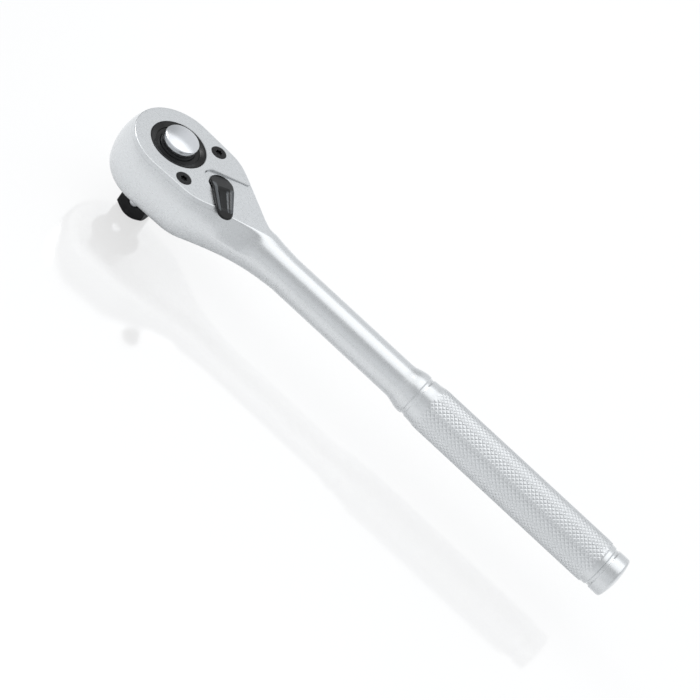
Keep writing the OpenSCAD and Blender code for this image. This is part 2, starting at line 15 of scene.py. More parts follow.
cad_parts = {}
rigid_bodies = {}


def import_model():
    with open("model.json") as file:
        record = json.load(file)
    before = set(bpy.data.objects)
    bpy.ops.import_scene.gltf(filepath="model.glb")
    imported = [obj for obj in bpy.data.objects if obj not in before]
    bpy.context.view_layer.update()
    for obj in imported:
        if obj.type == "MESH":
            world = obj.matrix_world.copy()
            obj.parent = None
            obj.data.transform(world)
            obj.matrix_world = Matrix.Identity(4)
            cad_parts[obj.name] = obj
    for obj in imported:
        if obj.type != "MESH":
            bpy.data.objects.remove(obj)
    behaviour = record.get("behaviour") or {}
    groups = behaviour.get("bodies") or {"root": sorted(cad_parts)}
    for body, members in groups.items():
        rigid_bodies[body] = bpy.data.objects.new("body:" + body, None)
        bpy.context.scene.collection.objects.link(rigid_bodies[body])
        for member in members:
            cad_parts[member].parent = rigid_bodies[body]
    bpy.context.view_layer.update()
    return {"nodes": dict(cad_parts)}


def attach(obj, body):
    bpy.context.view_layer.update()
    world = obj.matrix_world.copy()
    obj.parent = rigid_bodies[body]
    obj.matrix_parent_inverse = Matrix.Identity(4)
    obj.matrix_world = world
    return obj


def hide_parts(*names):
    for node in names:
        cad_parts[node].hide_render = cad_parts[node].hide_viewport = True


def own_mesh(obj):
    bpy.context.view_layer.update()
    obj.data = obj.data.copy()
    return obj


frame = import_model()
MM = 0.001


# %% [markdown]
# ## Small helpers
# Colours are easiest to choose as hex values, which are sRGB, while Blender's sockets want linear light. One
# function turns one into the other. A second one adds a node to any tree, sets its values and links it, so
# that each material below reads as a list of what is joined to what. A third one puts a new object in the
# scene.

# %% Colour, node and object helpers
def linear(hex_colour):
    """The sRGB hex value as linear red, green, blue and alpha."""
    channels = [int(hex_colour[i:i + 2], 16) / 255 for i in (1, 3, 5)]
    return [c / 12.92 if c <= 0.04045 else ((c + 0.055) / 1.055) ** 2.4 for c in channels] + [1.0]


def add(tree, kind, inputs=None, **settings):
    """Adds a node, sets its settings, and fills or links its inputs by name or number."""
    node = tree.nodes.new(kind)
    for name, value in settings.items():
        setattr(node, name, value)
    for key, value in (inputs or {}).items():
        if isinstance(value, bpy.types.NodeSocket):
            tree.links.new(value, node.inputs[key])
        else:
            node.inputs[key].default_value = value
    return node


def add_object(name, data):
    """A new object in the scene that holds a mesh, a lamp or a camera."""
    thing = bpy.data.objects.new(name, data)
    bpy.context.scene.collection.objects.link(thing)
    return thing


print("satin chrome grey in linear light:", [round(c, 3) for c in linear("#cdd0d3")])


# %% [markdown]
# ## The camera
# The photograph was taken from the front and above, with the camera rolled so that the handle runs down to
# the right. The angles below were found by fitting known points of the tool to the picture: the aim is a
# point on the handle, the camera stands 0.915 m from it, and a long lens keeps the perspective slight. The
# lens shift puts the aim at its place in the square picture.

# %% Camera
AIM, AIM_PIXEL = Vector((85, 0, 12.3)) * MM, (325.97, 312.0)
PICTURE, PIXELS_PER_M, DISTANCE, SENSOR = 700, 2598.0, 0.91515, 36
azimuth, elevation, roll = math.radians(5.362), math.radians(38.368), math.radians(-39.436)

away = Vector((math.sin(azimuth) * math.cos(elevation),
               -math.cos(azimuth) * math.cos(elevation),
               math.sin(elevation)))
level_right = Vector((math.cos(azimuth), math.sin(azimuth), 0))
level_up = away.cross(level_right)
right = level_right * math.cos(roll) - level_up * math.sin(roll)
up = level_right * math.sin(roll) + level_up * math.cos(roll)

camera_data = bpy.data.cameras.new("photo_camera")
camera = add_object("photo_camera", camera_data)
camera.matrix_world = Matrix((right, up, away)).transposed().to_4x4()
camera.location = AIM + away * DISTANCE
camera_data.sensor_width = SENSOR
camera_data.lens = SENSOR * PIXELS_PER_M * DISTANCE / PICTURE
camera_data.shift_x = (PICTURE / 2 - AIM_PIXEL[0]) / PICTURE
camera_data.shift_y = (AIM_PIXEL[1] - PICTURE / 2) / PICTURE
camera_data.clip_start, camera_data.clip_end = 0.05, 20
bpy.context.scene.camera = camera
print("lens %.1f mm, shift %.4f %.4f" % (camera_data.lens, camera_data.shift_x, camera_data.shift_y))


# %% [markdown]
# ## Light
# A metal has almost no colour of its own: what we see is the room in it. The world is a white sweep, whose
# ceiling is dimmer on the camera's side. A grey wall at the left behind the tool, and a fainter one at the
# right in front of it, give the flanks of small forms different tones. Two lamps add to that. A wide softbox
# overhead draws the white band along the shank, and a small lamp at the left, behind, glints on black steel.

# %% World
SWEEP = 0.98
scene = bpy.context.scene
scene.view_settings.view_transform = "Standard"
world = bpy.data.worlds.new("white_studio")
scene.world = world
world.use_nodes = True
sky = world.node_tree
sky.nodes.clear()
looking = add(sky, "ShaderNodeTexCoord").outputs["Generated"]
direction = add(sky, "ShaderNodeSeparateXYZ", {0: looking}).outputs
ceiling = add(sky, "ShaderNodeMapRange", {
    "Value": direction["Z"], "From Min": 0.35, "From Max": 0.8, "To Min": SWEEP, "To Max": 0.7})
behind = add(sky, "ShaderNodeMapRange", {
    "Value": direction["Y"], "From Min": -0.35, "From Max": 0.25}, interpolation_type="SMOOTHSTEP").outputs[0]
sweep = add(sky, "ShaderNodeMix", {0: behind, 2: ceiling.outputs[0], 3: SWEEP}, data_type="FLOAT")
left_wall = add(sky, "ShaderNodeMapRange", {
    "Value": direction["X"], "From Min": -0.5, "From Max": -0.12, "To Min": 0.6, "To Max": 1.0},
    interpolation_type="SMOOTHSTEP")
right_wall = add(sky, "ShaderNodeMapRange", {
    "Value": direction["X"], "From Min": 0.1, "From Max": 0.45, "To Min": 1.0, "To Max": 0.86},
    interpolation_type="SMOOTHSTEP")
walls = add(sky, "ShaderNodeMix", {
    0: behind, 2: right_wall.outputs[0], 3: left_wall.outputs[0]}, data_type="FLOAT")
strength = add(sky, "ShaderNodeMath", {0: sweep.outputs[0], 1: walls.outputs[0]}, operation="MULTIPLY")
studio = add(sky, "ShaderNodeBackground", {"Color": linear("#f7f9fb"), "Strength": strength.outputs[0]})
add(sky, "ShaderNodeOutputWorld", {"Surface": studio.outputs[0]})
print("world:", world.name, "with", len(sky.nodes), "nodes")


# %% Lamps
def softbox(name, place, target, size, power):
    """A rectangular lamp at a place, turned to face a target, in metres and watts."""
    lamp = bpy.data.lights.new(name, "AREA")
    lamp.shape, lamp.energy = "RECTANGLE", power
    lamp.size, lamp.size_y = size
    box = add_object(name, lamp)
    box.location = place
    box.rotation_euler = (Vector(target) - Vector(place)).to_track_quat("-Z", "Y").to_euler()


softbox("overhead_softbox", (0.0, 0.175, 0.75), (0.0, 0.175, 0.0), (1.3, 0.85), 2.5)
softbox("left_lamp", (-0.68, 0.35, 0.74), (0.0, 0.0, 0.0), (0.34, 0.3), 2.2)


# %% [markdown]
# ## Floor
# The floor is polished white board. To the camera it glows nearly white, takes a little shade and mirrors the
# tool faintly. To every other ray it is matt board in real light, so that it darkens under the tool, and the
# tool shows that in its lower sides.

# %% Floor
FLOOR_Z, FLOOR_HALF = -15.5 * MM, 4
BOARD_GLOW, BOARD_MIRROR, GLOW_IN_METAL = 0.865, 0.2, 0.04


def new_finish(name):
    """A new material and its empty tree."""
    finish = bpy.data.materials.new(name)
    finish.use_nodes = True
    finish.node_tree.nodes.clear()
    return finish, finish.node_tree


board_finish, tree = new_finish("polished_white_board")
seen = add(tree, "ShaderNodeLightPath").outputs
shaded = add(tree, "ShaderNodeBsdfDiffuse", {"Color": linear("#696969")})
glow = add(tree, "ShaderNodeEmission", {"Color": linear("#ffffff"), "Strength": BOARD_GLOW})
board = add(tree, "ShaderNodeAddShader", {0: shaded.outputs[0], 1: glow.outputs[0]})
polish = add(tree, "ShaderNodeBsdfGlossy", {"Color": linear("#ffffff"), "Roughness": 0.1})
to_camera = add(tree, "ShaderNodeMixShader", {0: BOARD_MIRROR, 1: board.outputs[0], 2: polish.outputs[0]})
in_metal = add(tree, "ShaderNodeMath", {0: seen["Is Glossy Ray"], 1: GLOW_IN_METAL}, operation="MULTIPLY")
matt = add(tree, "ShaderNodeBsdfDiffuse", {"Color": linear("#f8f8f8")})
metal_glow = add(tree, "ShaderNodeEmission", {"Color": linear("#ffffff"), "Strength": in_metal.outputs[0]})
to_metal = add(tree, "ShaderNodeAddShader", {0: matt.outputs[0], 1: metal_glow.outputs[0]})
lit = add(tree, "ShaderNodeMixShader", {
    0: seen["Is Camera Ray"], 1: to_metal.outputs[0], 2: to_camera.outputs[0]})
add(tree, "ShaderNodeOutputMaterial", {"Surface": lit.outputs[0]})

floor_corners = [(x * FLOOR_HALF, y * FLOOR_HALF, FLOOR_Z) for x, y in ((-1, -1), (1, -1), (1, 1), (-1, 1))]
floor_mesh = bpy.data.meshes.new("studio_floor")
floor_mesh.from_pydata(floor_corners, [], [(0, 1, 2, 3)])
floor_mesh.materials.append(board_finish)
floor = add_object("studio_floor", floor_mesh)
print("floor at %.1f mm" % (FLOOR_Z / MM))


# %% [markdown]
# ## Mesh helpers
# Four small tools serve every piece. One lays quads through rows of points, which is how most pieces below
# are described. One turns points in millimetres into a mesh object at the origin. One applies whatever
# modifiers a piece has and keeps the plain mesh, so that nothing live is left on it. One sets smooth shading,
# with hard lines only where faces meet at more than a chosen angle.

# %% Mesh helpers
def weave(rows, around=False, back=False):
    """Points and quads of a surface through rows of points. around closes each row on itself, and back joins
    the last row to the first."""
    size = len(rows[0])
    numbers = [[k * size + i for i in range(size)] for k in range(len(rows))]
    following = numbers[1:] + numbers[:1] if back else numbers[1:]
    faces = [(a[i], a[(i + 1) % size], b[(i + 1) % size], b[i])
             for a, b in zip(numbers, following) for i in range(size if around else size - 1)]
    return [p for row in rows for p in row], faces


def mesh_piece(name, points, faces):
    """A new object from points in millimetres, with doubles merged and faces turned outwards."""
    mesh = bpy.data.meshes.new(name)
    mesh.from_pydata([Vector(p) * MM for p in points], [], faces)
    work = bmesh.new()
    work.from_mesh(mesh)
    bmesh.ops.remove_doubles(work, verts=work.verts, dist=1e-7)
    bmesh.ops.dissolve_degenerate(work, edges=work.edges, dist=1e-8)
    bmesh.ops.recalc_face_normals(work, faces=work.faces)
    work.to_mesh(mesh)
    work.free()
    return add_object(name, mesh)


def settle(piece):
    """Applies the modifiers of a piece and keeps the result as its plain mesh."""
    result = bpy.data.meshes.new_from_object(piece.evaluated_get(bpy.context.evaluated_depsgraph_get()))
    old = piece.data
    piece.modifiers.clear()
    piece.data = result
    result.name = piece.name
    bpy.data.meshes.remove(old)
    return piece


def shade(piece, degrees=35):
    """Smooth shading, with hard edges above an angle."""
    piece.data.shade_smooth()
    piece.data.set_sharp_from_angle(angle=math.radians(degrees))
    return piece


print("mesh helpers ready")


# %% [markdown]
# ## The form of the head and neck
# The head is a flat pear: its sides bulge like a barrel, its top and underside are flat, and it tapers into
# a round shank. One rule gives every section. Each side is a stretch of an ellipse, whose half width and half
# height change along the handle, and two flats cut it off above and below. Where the flats fade out, the
# section becomes a circle. On top of the neck the flat narrows to a point, and the sides next to it lean in
# and run straight up to a crisp edge, as the forging dies leave them. The tables follow the CAD, and only
# that top of the neck is drawn finer than in the solid.

# %% Sizes of the head and neck, in millimetres
HEAD_R, EDGE_R, HEAD_H, HEAD_Z = 21.3, 18.8, 23.0, 0.8
COVER_T, COVER_REACH = 1.6, 29.5
NECK_START, NECK_END, NECK_RUN, SHANK_R = 20.0, 60.0, 68.0, 7.7
AXIS_Z, TOP_Z = HEAD_Z + HEAD_H / 2, HEAD_Z + HEAD_H
SEAT_Z = TOP_Z - COVER_T
NECK_TOP = TOP_Z - AXIS_Z - 0.4
BULGE_H = HEAD_H / 2 / math.sqrt(1 - (EDGE_R / HEAD_R) ** 2)

# Tables of (distance along the handle, value); heights are over the axis of the handle
HALF_WIDTHS = [(0, HEAD_R), (NECK_START, HEAD_R - 0.4), (NECK_END - 14, SHANK_R + 1.9), (NECK_END, SHANK_R)]
HALF_HEIGHTS = [(0, BULGE_H), (NECK_START, BULGE_H - 1.9), (NECK_START + 10, SHANK_R + 8.3),
                (NECK_END - 24, SHANK_R + 6.4), (NECK_END - 12, SHANK_R + 2.2), (NECK_END, SHANK_R)]
FOOT_FLATS = [(0, HEAD_H / 2), (NECK_START + 2, HEAD_H / 2), (NECK_END, 0.88 * SHANK_R)]
BODY_TOPS = [(0, SEAT_Z + 0.3 - AXIS_Z), (NECK_START, NECK_TOP - 0.5), (COVER_REACH, NECK_TOP),
             (37, 9.8), (46, 9.5), (52, 8.5), (NECK_END, SHANK_R - 0.02)]
FLAT_EDGES = [(COVER_REACH, 12.5), (36.5, 9.1), (43.4, 4.9), (47.9, 2.2), (51, 0.6), (NECK_END, 0.6)]

# Stretches of the handle over which one form passes into the next
POINTED_FLAT, ROUND_SIDES, ROUND_TOP, ROUND_FOOT = (30, 36), (44, 52), (46, 53), (NECK_END - 24, NECK_END)
NECK_LEAN = math.radians(30)
print("head %.1f mm across, shank %.1f mm" % (2 * HEAD_R, 2 * SHANK_R))


# %% Values along the handle
def rise(x, start, end):
    """0 before the start, 1 after the end, and an S-shaped rise between."""
    t = min(1, max(0, (x - start) / (end - start)))
    return t * t * (3 - 2 * t)


def lookup(table, x):
    """The value of a table at x, along straight lines between its entries."""
    for (x0, v0), (x1, v1) in zip(table, table[1:]):
        if x <= x1:
            return v0 + (v1 - v0) * max(0, x - x0) / (x1 - x0)
    return table[-1][1]


def station(table, x):
    """The value of a table at x, with its corners rounded over a length that ends with the table."""
    reach = min(4 + 4 * rise(x, 32, 40), x, max(NECK_RUN - x, 0))
    weights = ((1, -1), (2, -0.5), (2, 0), (2, 0.5), (1, 1))
    return sum(w * lookup(table, x + reach * d) for w, d in weights) / 8


print("half width at the neck, x = 40: %.2f mm" % station(HALF_WIDTHS, 40))

# %% Sides of a section
SIDE_STEPS = 13


def bent(p, corner, q, t):
    """Point at t of the way from p to q, on a curve that bends towards a corner."""
    return Vector(p) * (1 - t) ** 2 + Vector(corner) * 2 * t * (1 - t) + Vector(q) * t * t


def oval_side(w, h, start, end, steps):
    """Side of a section as a stretch of an ellipse between two angles."""
    angles = [start + (end - start) * i / steps for i in range(steps + 1)]
    return [(w * math.cos(a), h * math.sin(a)) for a in angles]


def upper_side(x, w, high, edge, tall, short):
    """Side of the body from its widest point up to the edge of the top: an ellipse on the head, and on the
    neck a side that leans in. It stops short of the edge, where the easing begins."""
    straight = rise(x, *POINTED_FLAT) * (1 - rise(x, *ROUND_SIDES))
    knee = max(0.15 * high, high - (w - edge) / math.tan(NECK_LEAN))
    end = 1 - short / math.hypot(w - edge, high)
    oval = oval_side(w, tall, 0, end * math.asin(high / tall), SIDE_STEPS)
    lean = [bent((w, 0), (w, knee), (edge, high), end * i / SIDE_STEPS) for i in range(SIDE_STEPS + 1)]
    return [tuple(Vector(p).lerp(q, straight)) for p, q in zip(oval, lean)]


print("a quarter of an oval:", [(round(y, 2), round(z, 2)) for y, z in oval_side(2, 1, 0, math.pi / 2, 2)])

# %% Whole sections
ACROSS_FLAT, ROUND_EDGE = (0, 0.22, 0.44, 0.66, 0.84, 0.96), (0.0, 0.14, 0.3, 0.5, 0.7, 0.86)


def half_section(x, low, high, low_round, high_round, crowned=True):
    """Right half of a section at x, from the middle of its underside to the middle of its top, as (half
    width, height over the axis). low and high are the heights of the two flats, the rounds are how far each
    edge is eased, and a crowned section becomes a circle towards the shank."""
    w, h = station(HALF_WIDTHS, x), station(HALF_HEIGHTS, x)
    a, b = math.asin(low / h), math.asin(min(1, high / h))
    foot_edge, top_edge = w * math.cos(a), w * math.cos(b)
    if crowned:
        top_edge += rise(x, *POINTED_FLAT) * (station(FLAT_EDGES, x) - top_edge)
        high_round = min(high_round, 0.8 * top_edge)
    tall = high / math.sqrt(1 - (top_edge / w) ** 2)
    foot_crown, top_crown = (rise(x, *ROUND_FOOT), rise(x, *ROUND_TOP)) if crowned else (0, 0)

    def crest(y, flat):
        bow = math.sqrt(max(0, 1 - (y / w) ** 2))
        return flat + (foot_crown * (-h * bow - flat) if flat < 0 else top_crown * (tall * bow - flat))

    def flat_and_edge(edge, flat, inset, beside):
        inner = edge - inset
        across = [(inner * s, crest(inner * s, flat)) for s in ACROSS_FLAT]
        start = (inner, crest(inner, flat))
        return across + [tuple(bent(start, (edge, flat), beside, t)) for t in ROUND_EDGE]

    first = a + low_round / math.hypot(w * math.sin(a), h * math.cos(a))
    if crowned:
        side = oval_side(w, h, first, 0, SIDE_STEPS)[:-1] + upper_side(x, w, high, top_edge, tall, high_round)
    else:
        last = b - high_round / math.hypot(w * math.sin(b), h * math.cos(b))
        side = oval_side(w, h, first, last, 2 * SIDE_STEPS)
    foot = flat_and_edge(foot_edge, low, low_round, side[0])
    return foot + side + flat_and_edge(top_edge, high, high_round, side[-1])[::-1]


print("points in half a section:", len(half_section(0, -HEAD_H / 2, HEAD_H / 2, 1, 1)))


# %% [markdown]
# ## Finishes
# The tool has five finishes. The forging is blasted and then chrome plated, which gives a satin grey that is
# bright but never a mirror. The button and the ball are polished steel. The drive, the lever and the screws
# are black oxide, a thin dark film that shows every tool mark below it. Springs are plain drawn wire, and the
# drag ring is moulded rubber. Solid patterns on Object coordinates need no unwrapping, and they stay where
# they are when a body moves.

# %% Satin chrome plate
def grain(millimetres):
    """Noise scale whose blobs have this size in millimetres, on coordinates in metres."""
    return 1000 / millimetres


# Chrome over a blasted surface: a pale, slightly blue grey, with a soft gloss from pits far smaller than a
# millimetre. The real pits are about 0.03 mm, too fine to show, so they are drawn at 0.8 mm and very shallow.
satin_chrome, tree = new_finish("satin_chrome_plate")
place = add(tree, "ShaderNodeTexCoord").outputs["Object"]
pits = add(tree, "ShaderNodeTexNoise", {
    "Vector": place, "Scale": grain(0.8), "Detail": 2.0, "Roughness": 0.5}).outputs[0]
clouds = add(tree, "ShaderNodeTexNoise", {"Vector": place, "Scale": grain(14), "Detail": 2.0})
speckle = add(tree, "ShaderNodeMix", {0: 0.8, 2: clouds.outputs[0], 3: pits}, data_type="FLOAT")
depth = add(tree, "ShaderNodeMapRange", {"Value": speckle.outputs[0], "From Min": 0.2, "From Max": 0.8})
tone = add(tree, "ShaderNodeMix", {
    0: depth.outputs[0], 6: linear("#cacccd"), 7: linear("#d6d8da")}, data_type="RGBA")
gloss = add(tree, "ShaderNodeMapRange", {
    "Value": pits, "From Min": 0.3, "From Max": 0.7, "To Min": 0.26, "To Max": 0.32})
relief = add(tree, "ShaderNodeBump", {"Height": pits, "Strength": 0.09, "Distance": 0.02 * MM})
shader = add(tree, "ShaderNodeBsdfPrincipled", {
    "Base Color": tone.outputs[2], "Metallic": 1.0, "Roughness": gloss.outputs[0],
    "Normal": relief.outputs[0]})
add(tree, "ShaderNodeOutputMaterial", {"Surface": shader.outputs[0]})
print("finish:", satin_chrome.name)

# %% Polished steel
# Turned and buffed steel: brighter and tighter than the chrome, with faint rings left by the turning. The
# real ones are some 0.1 mm apart, too fine to show, so they are drawn 2.2 mm apart. A wave texture repeats
# every pi / 10 of a unit, which its scale makes up for.
polished_steel, tree = new_finish("polished_steel")
place = add(tree, "ShaderNodeTexCoord").outputs["Object"]
turn_marks = add(tree, "ShaderNodeTexWave", {
    "Vector": place, "Scale": grain(2.2) * math.pi / 10, "Distortion": 0.6, "Detail": 1.0},
    wave_type="RINGS", rings_direction="Z")
smears = add(tree, "ShaderNodeTexNoise", {"Vector": place, "Scale": grain(5), "Detail": 3.0})
gloss = add(tree, "ShaderNodeMapRange", {
    "Value": smears.outputs[0], "From Min": 0.3, "From Max": 0.7, "To Min": 0.14, "To Max": 0.24})
relief = add(tree, "ShaderNodeBump", {
    "Height": turn_marks.outputs[1], "Strength": 0.12, "Distance": 0.01 * MM})
shader = add(tree, "ShaderNodeBsdfPrincipled", {
    "Base Color": linear("#d2d4d7"), "Metallic": 1.0, "Roughness": gloss.outputs[0],
    "Normal": relief.outputs[0]})
add(tree, "ShaderNodeOutputMaterial", {"Surface": shader.outputs[0]})
print("finish:", polished_steel.name)

# %% Black oxide
# A conversion film on ground steel: nearly black, a little greyer where it has been handled. Faces that look
# up or down are rubbed to a semi-gloss, and the flanks stay dull. Each piece keeps how far a face is rubbed
# in an attribute, from 0 to 1. Above 1 it marks the lips of the lever's channel. Their lighter grey base
# colour is a painted highlight, drawn as film that a thumb has worn thin.
WORN_LIP_HIGHLIGHT = 2.0
black_oxide, tree = new_finish("black_oxide_steel")
place = add(tree, "ShaderNodeTexCoord").outputs["Object"]
rubbed = add(tree, "ShaderNodeAttribute", attribute_name="rubbed").outputs["Fac"]
handled = add(tree, "ShaderNodeTexNoise", {
    "Vector": place, "Scale": grain(6), "Detail": 4.0, "Roughness": 0.65}).outputs[0]
film = add(tree, "ShaderNodeTexNoise", {"Vector": place, "Scale": grain(0.4), "Detail": 2.0})
tone = add(tree, "ShaderNodeMix", {0: handled, 6: linear("#060607"), 7: linear("#0e0f10")}, data_type="RGBA")
# Faces marked above 1 take a lighter grey: a painted highlight on the lever's channel lips, drawn as worn
# film.
lip_highlight_share = add(tree, "ShaderNodeMapRange", {"Value": rubbed, "From Min": 1.0, "From Max": WORN_LIP_HIGHLIGHT})
shown = add(tree, "ShaderNodeMix", {
    0: lip_highlight_share.outputs[0], 6: tone.outputs[2], 7: linear("#4c4f52")}, data_type="RGBA")
gloss = add(tree, "ShaderNodeMapRange", {
    "Value": handled, "From Min": 0.3, "From Max": 0.7, "To Min": 0.2, "To Max": 0.32})
dull = add(tree, "ShaderNodeMix", {0: rubbed, 2: 0.45, 3: gloss.outputs[0]}, data_type="FLOAT")
relief = add(tree, "ShaderNodeBump", {"Height": film.outputs[0], "Strength": 0.2, "Distance": 0.015 * MM})
shader = add(tree, "ShaderNodeBsdfPrincipled", {
    "Base Color": shown.outputs[2], "Roughness": dull.outputs[0], "Specular IOR Level": 0.25,
    "Normal": relief.outputs[0]})
add(tree, "ShaderNodeOutputMaterial", {"Surface": shader.outputs[0]})


def rub(piece, most=1.0, upright=0.3, level=0.8):
    """Keeps on every face how far it looks up or down, which is how far handling has polished it."""
    marks = piece.data.attributes.new("rubbed", "FLOAT", "FACE").data
    for face, mark in zip(piece.data.polygons, marks):
        mark.value = most * rise(abs(face.normal.z), upright, level)
    return piece


print("finish:", black_oxide.name)

# %% Spring steel
# Hard-drawn wire and stamped strip: a dull grey with fine draw marks, here 0.3 mm noise.
spring_steel, tree = new_finish("drawn_spring_steel")
place = add(tree, "ShaderNodeTexCoord").outputs["Object"]
marks = add(tree, "ShaderNodeTexNoise", {"Vector": place, "Scale": grain(0.3), "Detail": 2.0}).outputs[0]
gloss = add(tree, "ShaderNodeMapRange", {"Value": marks, "To Min": 0.25, "To Max": 0.5})
relief = add(tree, "ShaderNodeBump", {"Height": marks, "Strength": 0.2, "Distance": 0.01 * MM})
shader = add(tree, "ShaderNodeBsdfPrincipled", {
    "Base Color": linear("#96999d"), "Metallic": 1.0, "Roughness": gloss.outputs[0],
    "Normal": relief.outputs[0]})
add(tree, "ShaderNodeOutputMaterial", {"Surface": shader.outputs[0]})
print("finish:", spring_steel.name)

# %% Seal rubber
# Moulded nitrile rubber: matt black with a dry bloom in 1 mm patches.
seal_rubber, tree = new_finish("moulded_nitrile_rubber")
place = add(tree, "ShaderNodeTexCoord").outputs["Object"]
bloom = add(tree, "ShaderNodeTexNoise", {"Vector": place, "Scale": grain(1), "Detail": 3.0}).outputs[0]
tone = add(tree, "ShaderNodeMix", {0: bloom, 6: linear("#151515"), 7: linear("#262627")}, data_type="RGBA")
gloss = add(tree, "ShaderNodeMapRange", {"Value": bloom, "To Min": 0.55, "To Max": 0.8})
shader = add(tree, "ShaderNodeBsdfPrincipled", {"Base Color": tone.outputs[2], "Roughness": gloss.outputs[0]})
add(tree, "ShaderNodeOutputMaterial", {"Surface": shader.outputs[0]})
print("finish:", seal_rubber.name)


# %% [markdown]
# ## The forged body
# Head, neck, shank and grip are one forging. A loft through sections would do for the neck, and a turned
# piece for the handle, but two meshes leave a seam, and the eye finds it in the reflections. So the same ring
# of points runs from the head to the end of the handle: the sections fade to a circle, and the circle then
# follows the turned outline. The round end of the head is the first half section, swept about the drive axis.
# The cavity, the bores and the pawl pocket are cut out afterwards, as they are milled out of the real one.

# %% Rings of the head and neck
SHARP_EDGE, CRISP_EDGE, SHANK_EDGE, FOOT_ROUND, NECK_RINGS = 0.05, 0.33, 1.6, 4, 96


def body_half(x):
    """Right half of the body's section at x. Its upper edge is sharp below the cover, crisp behind it, and
    wide towards the shank."""
    fade = rise(x, *ROUND_FOOT)
    behind_cover = min(1, max(0, x - 21) / 5)
    top_round = SHARP_EDGE + CRISP_EDGE * behind_cover + SHANK_EDGE * fade
    foot_round = FOOT_ROUND * (1 - 0.6 * fade)
    return half_section(x, -station(FOOT_FLATS, x), station(BODY_TOPS, x), foot_round, top_round)


def whole_ring(x, half):
    """Full ring of a section from its right half."""
    return [(x, y, AXIS_Z + z) for y, z in half] + [(x, -y, AXIS_Z + z) for y, z in half[-2:0:-1]]


def head_loft(name, rings, half, capped=False, steps=72):
    """A piece through closed rings that starts with the round end of the head: the half section swept from
    +Y through -X to -Y."""
    points, faces = weave(rings, around=True)
    if capped:
        faces.append(list(range(len(points) - len(rings[0]), len(points))))
    turns = [math.pi / 2 + math.pi * k / steps for k in range(steps + 1)]
    end_points, end_faces = weave(
        [[(y * math.cos(a), y * math.sin(a), AXIS_Z + z) for y, z in half] for a in turns])
    faces += [[len(points) + i for i in face] for face in end_faces]
    return mesh_piece(name, points + end_points, faces)


rings = [whole_ring(x, body_half(x)) for x in [NECK_RUN * i / NECK_RINGS for i in range(NECK_RINGS)]]
last_ring = whole_ring(NECK_RUN, body_half(NECK_RUN - 0.01))
circle = [Vector((y, z - AXIS_Z)).normalized() for x, y, z in last_ring]
print("neck: %d rings of %d points" % (len(rings), len(circle)))


# %% Outline of the handle
def rounded(corners, radii, steps=5):
    """An open outline with its corners rounded by short curves that start that far from each corner."""
    out = []
    for i, (p, r) in enumerate(zip(corners, radii)):
        if r == 0 or i in (0, len(corners) - 1):
            out.append(tuple(Vector(p)))
            continue
        before, after = Vector(corners[i - 1]) - Vector(p), Vector(corners[i + 1]) - Vector(p)
        start = Vector(p) + before.normalized() * min(r, before.length / 2.01)
        end = Vector(p) + after.normalized() * min(r, after.length / 2.01)
        out += [tuple(bent(start, p, end, k / steps)) for k in range(steps + 1)]
    return out


# As (distance from the drive axis, radius) with how far each corner is eased, from the shank to the end
KNURL_BASE, KNURL_TIP, KNURL_FROM, KNURL_TO = 9.5, 9.7, 138.6, 225.0
FLARE_FROM, FLARE_RUN, FLARE_RISE, FLARE_STEPS = 123.1, 7.5, 1.4, 14
END_X, END_FALL, END_R, END_STEPS = 236, 1.2, 8.31, 10
RIM_X, RIM_R, RIM_ROUND, RIM_STEPS = 233.67, 7.9, 1.2, 8
turning = [((x, SHANK_R), 0) for x in (69, 78, 90, 106)]
for i in range(FLARE_STEPS + 1):
    swell = FLARE_RISE / 2 * (1 - math.cos(math.pi * i / FLARE_STEPS))
    turning.append(((FLARE_FROM + FLARE_RUN * i / FLARE_STEPS, SHANK_R + swell), 0))
turning += [
    ((131.9, 9.1), 0.2), ((132.4, 8.6), 0.2), ((133.4, 8.6), 0.2), ((133.9, 9.0), 0.25), ((136.9, 9.2), 0.5),
    ((KNURL_FROM, KNURL_BASE), 0.3), ((KNURL_TO, KNURL_BASE), 0.3), ((225.9, 9.15), 0.3), ((227.5, 9.1), 0.2),
    ((227.9, 8.6), 0.2), ((228.9, 8.6), 0.2), ((229.4, 9.1), 0.25)]
for i in range(RIM_STEPS + 1):
    a = math.radians(70 * i / RIM_STEPS)
    turning.append(((RIM_X + RIM_ROUND * math.sin(a), RIM_R + RIM_ROUND * math.cos(a)), 0))
for i in range(1, END_STEPS + 1):
    t = 1 - i / END_STEPS
    turning.append(((END_X - END_FALL * t * t, END_R * t), 0))
outline = [(NECK_RUN, SHANK_R)] + rounded([p for p, ease in turning], [ease for p, ease in turning])
rings += [[(x, r * c.x, AXIS_Z + r * c.y) for c in circle] for x, r in outline]
body = head_loft("forged_body", rings, body_half(0))
print("body blank: %d faces, %.1f mm long" % (len(body.data.polygons), body.dimensions.x / MM))


# %% Solids to cut with
def turned(name, outline, steps=128, centre=(0, 0, 0)):
    """A turned piece: an outline of (radius, height) in millimetres, spun about an upright axis."""
    turns = [(math.cos(a), math.sin(a)) for a in [2 * math.pi * k / steps for k in range(steps)]]
    rows = [[Vector((r * c, r * s, h)) + Vector(centre) for r, h in outline] for c, s in turns]
    return mesh_piece(name, *weave(rows, back=True))


def closed_turned(name, outline, **where):
    """A turned piece whose outline starts and ends on the axis, so that it is a closed solid."""
    return turned(name, [(0, outline[0][1])] + outline + [(0, outline[-1][1])], **where)


def prism(name, layers):
    """A solid through closed outlines of equal count, given as (height, [(x, y), ...]) from the foot up."""
    points, faces = weave([[(x, y, z) for x, y in outline] for z, outline in layers], around=True)
    size = len(layers[0][1])
    return mesh_piece(name, points, faces + [list(range(size)), list(range(len(points)))[:-size - 1:-1]])


def carve(piece, *cutters):
    """Cuts other pieces out of one, and removes the cutters."""
    for cutter in cutters:
        cut = piece.modifiers.new("cut", "BOOLEAN")
        cut.operation, cut.solver, cut.object = "DIFFERENCE", "EXACT", cutter
    settle(piece)
    for cutter in cutters:
        bpy.data.meshes.remove(cutter.data)
    return piece


